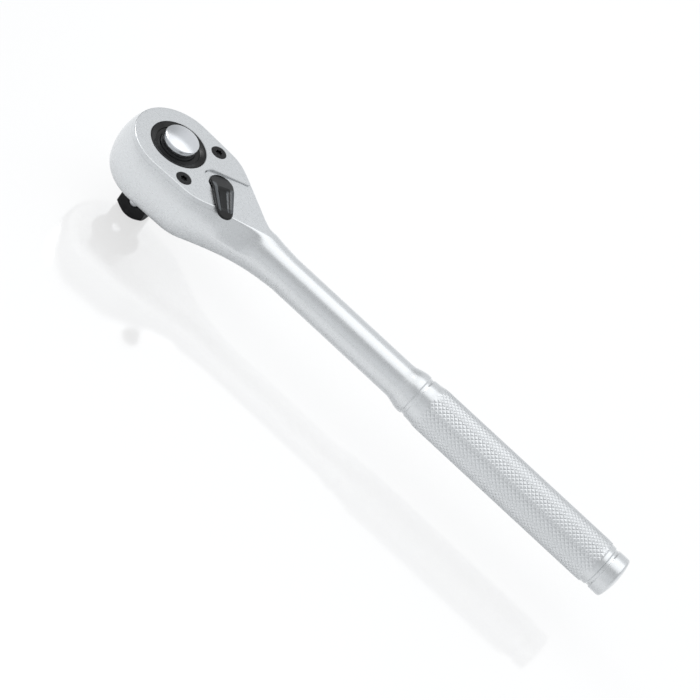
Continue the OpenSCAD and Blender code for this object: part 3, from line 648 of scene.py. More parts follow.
RUN_GAP, MOVE_GAP, CLEAR = 0.05, 0.25, 5
LEVER_X, BOSS_R = 22.5, 4.9
SCREW_RING, SCREW_TURN, SCREW_HOLE_R = 17.9, math.radians(48), 1.8
SCREW_X, SCREW_Y = SCREW_RING * math.cos(SCREW_TURN), SCREW_RING * math.sin(SCREW_TURN)
print("screws at x %.2f mm, y %.2f mm to either side" % (SCREW_X, SCREW_Y))

# %% Seat of the cover, with a tongue
# The tongue of the neck fills the notch that the cover has for the lever. The straight edges of the notch
# keep some room from the axis of the lever, and run on from a round root.
NOTCH_SLOPE, NOTCH_ROOT, NOTCH_ROOM, TONGUE_GAP = math.radians(30), 3.6, 5.7, 0.03
NOTCH_X = LEVER_X + (NOTCH_ROOT - NOTCH_ROOM) / math.sin(NOTCH_SLOPE)
ROOT_STEPS, FAR = 16, 45
tongue_root, mouth = NOTCH_ROOT - TONGUE_GAP, COVER_REACH + TONGUE_GAP
tongue_half = (mouth - NOTCH_X) * math.tan(NOTCH_SLOPE) + tongue_root / math.cos(NOTCH_SLOPE)
root_turns = [math.pi + (math.pi / 2 - NOTCH_SLOPE) * (1 - 2 * i / ROOT_STEPS) for i in range(ROOT_STEPS + 1)]
seat = [(-FAR, -FAR), (mouth, -FAR), (mouth, -tongue_half)]
seat += [(NOTCH_X + tongue_root * math.cos(a), tongue_root * math.sin(a)) for a in root_turns]
seat += [(mouth, tongue_half), (mouth, FAR), (-FAR, FAR)]
print("tongue: %.1f mm wide at the mouth of the notch" % (2 * tongue_half))

# %% Milling of the body
JOURNAL_R, CAVITY_R, CAVITY_Z = 10.0, 14.5, 4.8
SPINDLE_R, SPINDLE_FOOT_R, POCKET_Z, POCKET_TOP, HUB_R = 3.5, 2.8, 6.0, 15.8, 8.3
BACK_R, FRONT_R, PAWL_TOP, PAWL_TURN, PAWL_STEPS = 19.5, 13.5, 15.15, 51, 40
sweep_turns = [math.radians(PAWL_TURN * (2 * i / PAWL_STEPS - 1)) for i in range(PAWL_STEPS + 1)]
pocket = [(BACK_R * math.cos(a), BACK_R * math.sin(a)) for a in sweep_turns]
pocket += [(FRONT_R * math.cos(a), FRONT_R * math.sin(a)) for a in reversed(sweep_turns)]
journal_bore, boss_bore = JOURNAL_R + RUN_GAP, BOSS_R + MOVE_GAP
spindle_bore, foot_bore = SPINDLE_R + RUN_GAP, SPINDLE_FOOT_R + RUN_GAP
at_lever = (LEVER_X, 0, 0)
cutters = [
    prism("cut_seat", [(SEAT_Z, seat), (TOP_Z + CLEAR, seat)]),
    closed_turned("cut_lever", [(boss_bore, SEAT_Z - 0.1), (boss_bore, TOP_Z + CLEAR)],
                  centre=at_lever, steps=96),
    closed_turned("cut_cavity", [(CAVITY_R, CAVITY_Z), (CAVITY_R, SEAT_Z - 0.3),
                                 (CAVITY_R + 0.9, SEAT_Z + 0.6)]),
    closed_turned("cut_journal", [(11.2, -0.3), (journal_bore, HEAD_Z + 0.45), (journal_bore, POCKET_Z)]),
    closed_turned("cut_spindle", [(spindle_bore, POCKET_Z), (spindle_bore, SEAT_Z - 0.3),
                                  (spindle_bore + 0.9, SEAT_Z + 0.6)], centre=at_lever, steps=48),
    closed_turned("cut_hub", [(HUB_R, POCKET_Z), (HUB_R, POCKET_TOP)], centre=at_lever, steps=64),
    closed_turned("cut_foot", [(foot_bore, 2.7), (foot_bore, 9)], centre=at_lever, steps=48),
    prism("cut_pocket", [(POCKET_Z, pocket), (PAWL_TOP, pocket)])]
for side in (-1, 1):
    cutters.append(closed_turned("cut_screw", [(SCREW_HOLE_R, 16.7), (SCREW_HOLE_R, 24)],
                                 centre=(SCREW_X, side * SCREW_Y, 0), steps=32))
carve(body, *cutters)
shade(body, 32)
body.data.materials.append(satin_chrome)
print("body: %d faces after milling" % len(body.data.polygons))


# %% [markdown]
# ## The knurl
# The grip is rolled between two hard wheels, which press crossed helical grooves into it and leave rows of
# small four-sided points. A bump map would give the pattern, but not the broken outline or the way each point
# catches its own light. Some 2,500 points of six faces each cost little, so Geometry Nodes set a cut-off
# cone with four sides at every place that a row and a turn give. The rows at both ends are pressed less deep,
# as a wheel leaves them.

# %% Geometry Nodes helpers
def new_tree(name, inputs):
    """A Geometry Nodes tree with named inputs of some kinds, and the sockets at which they arrive."""
    tree = bpy.data.node_groups.new(name, "GeometryNodeTree")
    for label, kind in inputs.items():
        tree.interface.new_socket(label, in_out="INPUT", socket_type="NodeSocket" + kind)
    tree.interface.new_socket("Geometry", in_out="OUTPUT", socket_type="NodeSocketGeometry")
    return tree, add(tree, "NodeGroupInput").outputs


def grow(name, tree, values):
    """A piece made by a Geometry Nodes tree, with its inputs set by name, kept as a plain mesh."""
    piece = add_object(name, bpy.data.meshes.new(name))
    modifier = piece.modifiers.new(name, "NODES")
    modifier.node_group = tree
    for item in tree.interface.items_tree:
        if item.item_type == "SOCKET" and item.in_out == "INPUT" and item.name in values:
            modifier[item.identifier] = values[item.name]
    return settle(piece)


print("tree helpers ready")

# %% Places of the knurl's points
knurl_tree, given = new_tree("knurl_rows", {
    "Geometry": "Geometry", "Points around": "Int", "Rows": "Int", "Row step": "Float", "Start": "Float",
    "Base radius": "Float", "Depth": "Float", "Axis height": "Float", "Finish": "Material"})
index = add(knurl_tree, "GeometryNodeInputIndex").outputs[0]
row = add(knurl_tree, "FunctionNodeIntegerMath", {
    0: index, 1: given["Points around"]}, operation="DIVIDE_FLOOR").outputs[0]
step = add(knurl_tree, "FunctionNodeIntegerMath", {
    0: index, 1: given["Points around"]}, operation="MODULO").outputs[0]
odd = add(knurl_tree, "FunctionNodeIntegerMath", {0: row, 1: 2}, operation="MODULO").outputs[0]
shifted = add(knurl_tree, "ShaderNodeMath", {0: odd, 1: 0.5, 2: step}, operation="MULTIPLY_ADD").outputs[0]
pitch = add(knurl_tree, "ShaderNodeMath", {
    0: 2 * math.pi, 1: given["Points around"]}, operation="DIVIDE").outputs[0]
turn = add(knurl_tree, "ShaderNodeMath", {0: shifted, 1: pitch}, operation="MULTIPLY").outputs[0]
along = add(knurl_tree, "ShaderNodeMath", {
    0: row, 1: given["Row step"], 2: given["Start"]}, operation="MULTIPLY_ADD").outputs[0]
axis = add(knurl_tree, "ShaderNodeCombineXYZ", {"Z": given["Axis height"]})
level = add(knurl_tree, "ShaderNodeCombineXYZ", {
    "X": along, "Y": given["Base radius"], "Z": given["Axis height"]})
spot = add(knurl_tree, "ShaderNodeVectorRotate", {
    "Vector": level.outputs[0], "Center": axis.outputs[0], "Angle": turn}, rotation_type="X_AXIS")
count = add(knurl_tree, "ShaderNodeMath", {
    0: given["Rows"], 1: given["Points around"]}, operation="MULTIPLY").outputs[0]
spots = add(knurl_tree, "GeometryNodePoints", {"Count": count, "Position": spot.outputs[0]})
print("knurl places:", len(knurl_tree.nodes), "nodes")

# %% Points of the knurl
POINT_TOP, END_PRESS, FULL_PRESS_ROW = 0.35, 0.6, 4 / 3
outward = add(knurl_tree, "ShaderNodeMath", {0: turn, 1: math.pi / 2}, operation="SUBTRACT")
facing = add(knurl_tree, "ShaderNodeCombineXYZ", {"X": outward.outputs[0]})
after = add(knurl_tree, "FunctionNodeIntegerMath", {0: given["Rows"], 1: row}, operation="SUBTRACT")
to_last = add(knurl_tree, "FunctionNodeIntegerMath", {0: after.outputs[0], 1: 1}, operation="SUBTRACT")
from_end = add(knurl_tree, "FunctionNodeIntegerMath", {0: row, 1: to_last.outputs[0]}, operation="MINIMUM")
pressed = add(knurl_tree, "ShaderNodeMapRange", {
    "Value": from_end.outputs[0], "From Max": FULL_PRESS_ROW, "To Min": END_PRESS, "To Max": 1.0})
apart = add(knurl_tree, "ShaderNodeMath", {0: pitch, 1: given["Base radius"]}, operation="MULTIPLY")
half_apart = add(knurl_tree, "ShaderNodeMath", {0: apart.outputs[0], 1: 0.5}, operation="MULTIPLY")
narrow = add(knurl_tree, "ShaderNodeMath", {
    0: half_apart.outputs[0], 1: given["Row step"]}, operation="DIVIDE")
swell = add(knurl_tree, "ShaderNodeCombineXYZ", {"X": 1.0, "Y": narrow.outputs[0], "Z": pressed.outputs[0]})
top_r = add(knurl_tree, "ShaderNodeMath", {0: given["Row step"], 1: POINT_TOP}, operation="MULTIPLY")
point = add(knurl_tree, "GeometryNodeMeshCone", {
    "Vertices": 4, "Side Segments": 1, "Fill Segments": 1, "Radius Bottom": given["Row step"],
    "Radius Top": top_r.outputs[0], "Depth": given["Depth"]})
set_out = add(knurl_tree, "GeometryNodeInstanceOnPoints", {
    "Points": spots.outputs[0], "Instance": point.outputs[0], "Rotation": facing.outputs[0],
    "Scale": swell.outputs[0]})
real = add(knurl_tree, "GeometryNodeRealizeInstances", {0: set_out.outputs[0]})
flat = add(knurl_tree, "GeometryNodeSetShadeSmooth", {"Geometry": real.outputs[0], "Shade Smooth": False})
dressed = add(knurl_tree, "GeometryNodeSetMaterial", {
    "Geometry": flat.outputs[0], "Material": given["Finish"]})
add(knurl_tree, "NodeGroupOutput", {0: dressed.outputs[0]})
print("knurl tree:", len(knurl_tree.nodes), "nodes")

# %% Knurl on the grip
KNURL_AROUND, ROW_STEP, KNURL_MARGIN, KNURL_SINK = 30, 1.04, 0.7, 0.03
knurl_rows = int((KNURL_TO - KNURL_FROM) / ROW_STEP)
knurl = grow("grip_knurl", knurl_tree, {
    "Points around": KNURL_AROUND, "Rows": knurl_rows, "Row step": ROW_STEP * MM,
    "Start": (KNURL_FROM + KNURL_MARGIN) * MM, "Base radius": (KNURL_BASE - KNURL_SINK) * MM,
    "Depth": (KNURL_TIP - KNURL_BASE) * MM, "Axis height": AXIS_Z * MM, "Finish": satin_chrome})
print("knurl: %d rows of %d points, %d faces" % (knurl_rows, KNURL_AROUND, len(knurl.data.polygons)))


# %% [markdown]
# ## The cover plate
# A plate closes the head and follows its sides exactly, so it is made by the same section rule, cut off at
# the seat and at the top. Its upper edge is broken by a small bevel that draws the bright line round the head
# in the photograph, and a hair of daylight is left below it, which reads as the dark parting line. The hole
# for the drive boss, the countersinks and the notch for the lever are cut with cutters that flare at the top,
# so each opening gets its own small bevel.

# %% Cover blank
COVER_RINGS, COVER_GAP, COVER_EDGE = 44, 0.03, 0.3


def cover_half(x):
    """Right half of the cover's section at x."""
    foot = SEAT_Z + COVER_GAP - AXIS_Z
    return half_section(x, foot, TOP_Z - AXIS_Z, COVER_GAP, COVER_EDGE, crowned=False)


stations = [COVER_REACH * i / COVER_RINGS for i in range(COVER_RINGS + 1)]
cover_rings = [whole_ring(x, cover_half(x)) for x in stations]
cover = head_loft("head_cover_plate", cover_rings, cover_half(0), capped=True)
print("cover blank: %d faces" % len(cover.data.polygons))


# %% Openings in the cover
def notch_outline(out, reach=44, steps=24):
    """Outline of the lever notch, opened by a distance: a round root and two straight edges to the neck."""
    root, start = NOTCH_ROOT + out, math.pi / 2 + NOTCH_SLOPE
    arc = [start + (math.pi - 2 * NOTCH_SLOPE) * i / steps for i in range(steps + 1)]
    bend = [(NOTCH_X + root * math.cos(a), root * math.sin(a)) for a in arc]
    ends = ((bend[-1], -1), (bend[0], 1))
    return bend + [(x + reach * math.cos(NOTCH_SLOPE), y + side * reach * math.sin(NOTCH_SLOPE))
                   for (x, y), side in ends]


HOLE_R, SINK_R, BREAK_EDGE, SINK_BREAK = 12.0, 3.25, 0.22, 0.12
UNDER, LOW, HIGH = SEAT_Z - 1, TOP_Z - BREAK_EDGE, TOP_Z + BREAK_EDGE
cutters = [
    closed_turned("cut_boss", [(HOLE_R, UNDER), (HOLE_R, LOW), (HOLE_R + 2 * BREAK_EDGE, HIGH)]),
    prism("cut_notch", [(UNDER, notch_outline(0)), (LOW, notch_outline(0)),
                        (HIGH, notch_outline(2 * BREAK_EDGE))])]
sink = [(SCREW_HOLE_R, UNDER), (SCREW_HOLE_R, TOP_Z - 1.65), (SINK_R, TOP_Z - 0.2),
        (SINK_R, TOP_Z - SINK_BREAK), (SINK_R + 2 * SINK_BREAK, TOP_Z + SINK_BREAK)]
for side in (-1, 1):
    cutters.append(closed_turned("cut_sink", sink, centre=(SCREW_X, side * SCREW_Y, 0), steps=64))
carve(cover, *cutters)
shade(cover, 28)
cover.data.materials.append(satin_chrome)
print("cover: %d faces, top at %.2f mm" % (
    len(cover.data.polygons), max(v.co.z for v in cover.data.vertices) / MM))


# %% [markdown]
# ## The cover screws
# Two small countersunk screws with six-lobed sockets hold the cover. A round hole would look wrong even at
# this size, because the lobes catch the light one by one. The socket wall is a polar curve: a circle with six
# smaller circles set on it. The screw is modelled once about its own axis, and a short tree sets it out at
# both places, turned a little differently each time, as screws end up when they are driven home.

# %% One screw
SCREW_STEPS, SCREW_R, SCREW_HEAD_R, SCREW_LEN = 144, 1.75, 3.2, 6.6


def lobed(turn, core=1.15, lobe=0.36):
    """Radius of the six-lobed socket at an angle."""
    off = (turn + math.pi / 6) % (math.pi / 3) - math.pi / 6
    inside = lobe ** 2 - (core * math.sin(off)) ** 2
    return max(core, core * math.cos(off) + math.sqrt(inside)) if inside > 0 else core


shaft = rounded([(0, -SCREW_LEN), (SCREW_R, -SCREW_LEN), (SCREW_R, -1.65), (SCREW_HEAD_R, -0.2),
                 (SCREW_HEAD_R, 0), (2.2, 0)], [0, 0.3, 0.1, 0.08, 0.12, 0], 3)
screw_rows = []
for k in range(SCREW_STEPS):
    turn = 2 * math.pi * k / SCREW_STEPS
    wall = lobed(turn)
    socket = [(wall + 0.1, 0), (wall + 0.03, -0.03), (wall, -0.1), (wall, -1.0), (0.9, -1.1), (0, -1.35)]
    screw_rows.append([(r * math.cos(turn), r * math.sin(turn), h) for r, h in shaft + socket])
screw = rub(shade(mesh_piece("screw_pattern", *weave(screw_rows, back=True)), 40), 0.5)
screw.data.materials.append(black_oxide)
print("screw: %d faces" % len(screw.data.polygons))

# %% Both screws
FIRST_TURN, NEXT_TURN, SCREW_SINK = 0.15, 0.4, 0.03
screw_tree, given = new_tree("cover_screw_places", {
    "Geometry": "Geometry", "Screw": "Object", "Along": "Float", "Across": "Float", "Height": "Float",
    "Finish": "Material"})
number = add(screw_tree, "GeometryNodeInputIndex").outputs[0]
side = add(screw_tree, "ShaderNodeMath", {0: number, 1: 2.0, 2: -1.0}, operation="MULTIPLY_ADD")
across = add(screw_tree, "ShaderNodeMath", {0: side.outputs[0], 1: given["Across"]}, operation="MULTIPLY")
spot = add(screw_tree, "ShaderNodeCombineXYZ", {
    "X": given["Along"], "Y": across.outputs[0], "Z": given["Height"]})
turn = add(screw_tree, "ShaderNodeMath", {0: number, 1: NEXT_TURN, 2: FIRST_TURN}, operation="MULTIPLY_ADD")
facing = add(screw_tree, "ShaderNodeCombineXYZ", {"Z": turn.outputs[0]})
spots = add(screw_tree, "GeometryNodePoints", {"Count": 2, "Position": spot.outputs[0]})
shape = add(screw_tree, "GeometryNodeObjectInfo", {"Object": given["Screw"]})
set_out = add(screw_tree, "GeometryNodeInstanceOnPoints", {
    "Points": spots.outputs[0], "Instance": shape.outputs["Geometry"], "Rotation": facing.outputs[0]})
real = add(screw_tree, "GeometryNodeRealizeInstances", {0: set_out.outputs[0]})
dressed = add(screw_tree, "GeometryNodeSetMaterial", {
    "Geometry": real.outputs[0], "Material": given["Finish"]})
add(screw_tree, "NodeGroupOutput", {0: dressed.outputs[0]})

screws = grow("cover_screws", screw_tree, {
    "Screw": screw, "Along": SCREW_X * MM, "Across": SCREW_Y * MM, "Height": (TOP_Z - SCREW_SINK) * MM,
    "Finish": black_oxide})
bpy.data.meshes.remove(screw.data)
print("both screws: %d faces" % len(screws.data.polygons))


# %% [markdown]
# ## The drive
# Gear, journal, boss and square are one piece of hardened steel. The turned parts are one outline about the
# drive axis, with the dished ring on top that the button sits in. The square has its corners turned off and
# its end chamfered on the lathe: at every height its outline is the smaller of a square and a circle, so one
# polar curve with a soft minimum gives both, with edges as slightly rounded as hardening leaves them. The
# teeth are hidden, but they are there.

# %% Square end of the drive
TIP_Z, HALF_SQUARE, TURNED_R, TIP_R, SQUARE_STEPS = -15.4, 6.35, 8.6, 6.1, 240
CHAMFER, CHAMFER_STEPS = 2.45, 24
BALL_R, BALL_Z, BALL_Y, PLUNGER_BORE_R = 2.5, -7.4, -5.1, 2.62


def square_radius(turn, lathe_r, width=0.1):
    """Radius at an angle of a square turned down to a circle, with its corners rounded over a width."""
    c, s = abs(math.cos(turn)), abs(math.sin(turn))
    walls = [HALF_SQUARE / max(c, 1e-3), HALF_SQUARE / max(s, 1e-3), lathe_r]
    low = min(walls)
    return low - width * math.log(sum(math.exp((low - r) / width) for r in walls))


levels = [(0, TIP_Z), (3.0, TIP_Z), (TIP_R - 0.35, TIP_Z), (TIP_R - 0.12, TIP_Z + 0.05),
          (TIP_R + 0.03, TIP_Z + 0.2)]
for i in range(CHAMFER_STEPS + 1):
    cut = CHAMFER * i / CHAMFER_STEPS
    levels.append((TIP_R + 0.05 + cut, TIP_Z + 0.25 + cut))
levels += [(TURNED_R, z) for z in (TIP_Z + 2.9, TIP_Z + 3.4, -9.5, -4, -0.6)]
levels += [(TURNED_R + 0.3, -0.2), (TURNED_R + 0.6, 0.4), (0, 0.4)]
square_turns = [2 * math.pi * (k + 0.5) / SQUARE_STEPS for k in range(SQUARE_STEPS)]
square_rows = []
for lathe_r, z in levels:
    radii = [square_radius(a, lathe_r) if lathe_r > 6 else lathe_r for a in square_turns]
    square_rows.append([(r * math.cos(a), r * math.sin(a), z) for r, a in zip(radii, square_turns)])
square = mesh_piece("drive_square", *weave(square_rows, around=True))
ball_hole = closed_turned("cut_ball", [(BALL_R + RUN_GAP, 0), (BALL_R + RUN_GAP, 6.1), (2.95, 6.5)], steps=64)
ball_hole.data.transform(Matrix.Translation((0, 0, BALL_Z * MM)) @ Matrix.Rotation(math.pi / 2, 4, "X"))
carve(square, ball_hole)
carve(square, closed_turned("cut_plunger", [(PLUNGER_BORE_R, -12.6), (PLUNGER_BORE_R, 2)], steps=48))
print("square: %d faces" % len(square.data.polygons))


# %% Gear, journal and boss
def ring_outline(corners, eases):
    """A closed outline of (radius, height) that starts and ends half way along its last side."""
    start = tuple((Vector(corners[0]) + Vector(corners[-1])) / 2)
    return rounded([start] + corners + [start], [0] + eases + [0], 4)


def join(name, pieces):
    """Several closed shells as one piece."""
    work = bmesh.new()
    for part in pieces:
        work.from_mesh(part.data)
        bpy.data.meshes.remove(part.data)
    mesh = bpy.data.meshes.new(name)
    work.to_mesh(mesh)
    work.free()
    return add_object(name, mesh)


GEAR_FOOT, GEAR_TOP, TOOTH_TIP_R, TOOTH_ROOT_R, TEETH = 5.7, 16.3, 14.0, 13.2, 72
turned_drive = turned("drive_turned", ring_outline(
    [(PLUNGER_BORE_R, 0), (JOURNAL_R, 0), (JOURNAL_R, 1.95), (8.35, 1.95), (8.35, 3.65), (JOURNAL_R, 3.65),
     (JOURNAL_R, GEAR_FOOT), (13.1, GEAR_FOOT), (13.1, 21.9), (11.8, 21.9), (11.8, 23.6), (11.35, 23.6),
     (9.4, 22.9), (9.4, 12.65), (PLUNGER_BORE_R, 12.65)],
    [0, 0.35, 0.1, 0, 0, 0.1, 0.2, 0, 0.3, 0, 0.25, 0.25, 0.12, 0.2, 0.2]), steps=144)
tooth_pitch = 2 * math.pi / TEETH
teeth = []
for i in range(TEETH):
    for r, share in ((TOOTH_TIP_R, -0.1), (TOOTH_TIP_R, 0.1), (TOOTH_ROOT_R, 0.5)):
        a = i * tooth_pitch + share * tooth_pitch
        teeth.append((r * math.cos(a), r * math.sin(a)))
inner = [tuple(Vector(p).normalized() * 12.9) for p in teeth]
gear_layers = [(teeth, GEAR_FOOT), (teeth, GEAR_TOP), (inner, GEAR_TOP), (inner, GEAR_FOOT),
               (teeth, GEAR_FOOT)]
gear_rows = [[(x, y, z) for x, y in outline] for outline, z in gear_layers]
toothed = mesh_piece("drive_teeth", *weave(gear_rows, around=True))
drive = rub(shade(join("drive_gear_square", [square, turned_drive, toothed]), 35))
drive.data.materials.append(black_oxide)
print("drive: %d faces, tip at %.2f mm" % (
    len(drive.data.polygons), min(v.co.z for v in drive.data.vertices) / MM))


# %% [markdown]
# ## Button, retainer and ball
# The quick release is a polished button in the middle of the boss. Pressing it lets the ball in the square
# drop back, so that a socket comes off. All three are turned pieces, and their charm is in the profile: the
# button has a straight side, a tight rim and a shallow crown that gathers the light from above in one soft
# spot. The retainer lies below the dished ring, in its shadow, and reads as a black line round the button.

# %% Button
BUTTON_TOP, BUTTON_R, FLANGE_R, FLANGE_Z, FLANGE_TOP = 28.1, 7.5, 8.9, 20.05, 21.25
PLUNGER_R, PLUNGER_TOP, DOME_R, DOME_RIM, DOME_STEPS = 2.59, 24.05, 24.0, 6.9, 18
crown_radii = [DOME_RIM * (1 - i / DOME_STEPS) for i in range(DOME_STEPS + 1)]
crown = [(r, BUTTON_TOP - DOME_R + math.sqrt(DOME_R ** 2 - r ** 2)) for r in crown_radii]
under_button = rounded(
    [(0.0, PLUNGER_TOP), (PLUNGER_R, PLUNGER_TOP), (PLUNGER_R, FLANGE_Z), (FLANGE_R, FLANGE_Z),
     (FLANGE_R, FLANGE_TOP), (BUTTON_R, FLANGE_TOP)], [0, 0, 0.1, 0.2, 0.2, 0], 3)
button_side = rounded([(BUTTON_R, 24.0), (BUTTON_R, 25.2), (7.2, 26.95), crown[0]], [0, 0.3, 0.3, 0], 6)
button = closed_turned("push_button", under_button + button_side + crown[1:], steps=144)
shade(button, 35)
button.data.materials.append(polished_steel)
print("button crown at %.2f mm" % (max(v.co.z for v in button.data.vertices) / MM))

# %% Retaining ring and ball
RETAINER_R, RETAINER_BORE, RETAINER_Z, RETAINER_TOP, BALL_STEPS = 9.35, 7.65, 21.3, 22.7, 32
retainer = turned("button_retaining_ring", ring_outline(
    [(RETAINER_R, RETAINER_Z), (RETAINER_R, RETAINER_TOP), (RETAINER_BORE, RETAINER_TOP),
     (RETAINER_BORE, RETAINER_Z)], [0.15, 0.12, 0.2, 0.12]), steps=144)
rub(shade(retainer, 40), 0.2)
retainer.data.materials.append(black_oxide)
ball_turns = [-math.pi / 2 + math.pi * i / BALL_STEPS for i in range(BALL_STEPS + 1)]
ball = turned("socket_ball", [(BALL_R * math.cos(a), BALL_R * math.sin(a)) for a in ball_turns], steps=64)
ball_place = Matrix.Translation(Vector((0, BALL_Y, BALL_Z)) * MM)
ball.data.transform(ball_place @ Matrix.Rotation(math.pi / 2, 4, "X"))
shade(ball, 60)
ball.data.materials.append(polished_steel)
print("ball: %d faces, ring: %d faces" % (len(ball.data.polygons), len(retainer.data.polygons)))


# %% [markdown]
# ## The reversing lever
# The lever is a black teardrop over the notch. A crease crosses it a little beyond the pivot. Behind the
# crease its back falls away in one facet to the round end, and in front of it a channel for the thumb runs to
# the tip between two long ridges. Rings of points that shrink from the outline towards the middle line follow
# this form better than a square grid would, since each ring runs along the edge, a ridge or the channel. The
# spindle below it is turned, and the step under the tab is cut away at the end.

# %% Outline of the lever
TAB_TIP_R, TAB_REACH, TAB_TOP, TAB_FOOT, BOSS_FOOT = 3.2, 16.3, 25.45, 24.05, 22.45
LEVER_PLACE = Matrix.Translation((LEVER_X * MM, 0, 0)) @ Matrix.Rotation(math.radians(-52), 4, "Z")
BOSS_STEPS, EDGE_STEPS, TIP_STEPS = 48, 30, 32


def teardrop():
    """Outline of the lever as (point on the middle line, direction, radius), once round."""
    lean = math.asin((BOSS_R - TAB_TIP_R) / TAB_REACH)
    up, down = math.pi / 2 - lean, -math.pi / 2 + lean
    edge = [(TAB_REACH * i / EDGE_STEPS, BOSS_R + (TAB_TIP_R - BOSS_R) * i / EDGE_STEPS)
            for i in range(EDGE_STEPS + 1)]
    out = [(0.0, up + (2 * math.pi + down - up) * i / BOSS_STEPS, BOSS_R) for i in range(BOSS_STEPS + 1)]
    out += [(u, down, r) for u, r in edge[1:]]
    out += [(TAB_REACH, down + (up - down) * i / TIP_STEPS, TAB_TIP_R) for i in range(1, TIP_STEPS + 1)]
    return out + [(u, up, r) for u, r in edge[-2:0:-1]]


drop = teardrop()
print("lever outline: %d points" % len(drop))

# %% Height of the lever's top
EDGE_EASE, CREASE, BACK_SLOPE, TIP_FROM, TIP_SLOPE = 0.4, 4.41, 0.28, 15, 0.16
CHANNEL_IN, CHANNEL_OUT, CHANNEL_WALL = (3.4, 5.4), (14.2, 16.4), (0.3, 0.76)
CHANNEL_DEPTH, CHANNEL_RISE, RISE_FROM, RISE_RUN, WALL_ROUND = 1.15, 0.35, 6, 9, 0.45


def back_fall(u):
    """How far the back of the lever has fallen away at u along it."""
    return BACK_SLOPE * max(0, CREASE - u)


def lever_top(u, inset, share):
    """Height of the lever at u along it, a distance in from the edge, at a share of the way out to it."""
    short = max(0, EDGE_EASE - inset)
    edge = EDGE_EASE - math.sqrt(max(0, EDGE_EASE ** 2 - short ** 2))
    depth = CHANNEL_DEPTH - CHANNEL_RISE * min(1, max(0, u - RISE_FROM) / RISE_RUN)
    channel = rise(u, *CHANNEL_IN) * depth * (1 - rise(u, *CHANNEL_OUT))
    wall = (share - CHANNEL_WALL[0]) / (CHANNEL_WALL[1] - CHANNEL_WALL[0])
    rounded_wall = (1 - WALL_ROUND) * wall + WALL_ROUND * rise(share, *CHANNEL_WALL)
    hollow = 1 - min(1, max(0, rounded_wall))
    return TAB_TOP - edge - back_fall(u) - channel * hollow - TIP_SLOPE * max(0, u - TIP_FROM)


print("channel of the lever: %.2f mm deep" % (TAB_TOP - lever_top(8, BOSS_R, 0)))


# %% Rings of the lever
def lever_ring(share=None, inset=0.0, z=None):
    """Ring of points round the lever, at a share of the way out from its middle line or a distance in from
    its edge, on its top or at a height."""
    ring = []
    for middle, direction, r in drop:
        out = 1 - inset / r if share is None else share
        u, v = middle + out * r * math.cos(direction), out * r * math.sin(direction)
        ring.append((u, v, lever_top(u, (1 - out) * r, out) if z is None else z))
    return ring


RIDGES = (0, 0.13, 0.26, 0.31, 0.37, 0.43, 0.49, 0.55, 0.61, 0.67, 0.72, 0.76, 0.80)
EDGE_INSETS = (0.4, 0.3, 0.21, 0.14, 0.08, 0.03, 0.0)
FOOT_INSETS = ((0.0, 0.2), (0.06, 0.06), (0.2, 0.0))
lever_rows = [lever_ring(share=s) for s in RIDGES] + [lever_ring(inset=d) for d in EDGE_INSETS]
lever_rows += [lever_ring(inset=d, z=BOSS_FOOT + up) for d, up in FOOT_INSETS]
lever_rows.append(lever_ring(share=0, z=BOSS_FOOT))
tab = mesh_piece("lever_tab", *weave(lever_rows, around=True))
print("lever tab: %d faces" % len(tab.data.polygons))

# %% Step, spindle and pin hole
BITE_R, BITE_STEPS, PIN_HOLE_R, PIN_Z = 4.85, 48, 1.55, 10.6
bite = [math.radians(-90 + 180 * i / BITE_STEPS) for i in range(BITE_STEPS + 1)]
under = [(BITE_R * math.cos(a), BITE_R * math.sin(a)) for a in bite] + [(0, 9), (24, 9), (24, -9), (0, -9)]
carve(tab, prism("cut_under_tab", [(BOSS_FOOT - 1, under), (TAB_FOOT, under)]))
spindle = closed_turned("lever_spindle", rounded(
    [(0, 3.0), (SPINDLE_FOOT_R, 3.0), (SPINDLE_FOOT_R, 6.25), (SPINDLE_R, 6.25), (SPINDLE_R, 15.1),
     (2.9, 15.1), (2.9, 15.8), (SPINDLE_R, 15.8), (SPINDLE_R, 22.8), (0, 22.8)],
    [0, 0.4, 0, 0.3, 0.05, 0, 0, 0.05, 0, 0], 3), steps=64)
pin_hole = closed_turned("cut_pin", [(PIN_HOLE_R, -5.0), (PIN_HOLE_R, 2.5)], steps=32)
pin_hole.data.transform(Matrix.Translation((0, 0, PIN_Z * MM)) @ Matrix.Rotation(math.pi / 2, 4, "Y"))
carve(spindle, pin_hole)
lever = join("thumb_lever", [tab, spindle])
lever.data.transform(LEVER_PLACE)
lever.data.materials.append(black_oxide)
print("lever: %d faces, top at %.2f mm" % (
    len(lever.data.polygons), max(v.co.z for v in lever.data.vertices) / MM))

# %% Wear and painted highlight on the lever
# A thumb rubs the lips of the channel and the foot of its far wall. There the black film is drawn worn to
# grey, which is also a painted highlight for the reflection these slopes catch.
NEAR_LIP_FROM, FAR_LIP_FROM, LIP_DEPTH, LIP_BAND = 1.2, 3.8, 0.8, (0.6, 0.94)
WALL_FROM, WALL_LIFT, WALL_BAND = 4.4, 0.1, (0.3, 0.46)


def worn_and_highlit(u, v, z):
    """Whether a point of the lever, in its own frame and in millimetres, gets the painted highlight of a lip
    that a thumb has thinned.
    """
    out = abs(v) / (BOSS_R + (TAB_TIP_R - BOSS_R) * u / TAB_REACH)
    on_lip = LIP_BAND[0] < out < LIP_BAND[1] and z > TAB_TOP - back_fall(u) - LIP_DEPTH
    on_wall = WALL_BAND[0] < out < WALL_BAND[1] and z > TAB_FOOT + WALL_LIFT
    if v < 0:
        return NEAR_LIP_FROM < u < TAB_REACH and on_lip
    return u < TAB_REACH and (u > FAR_LIP_FROM and on_lip or u > WALL_FROM and on_wall)


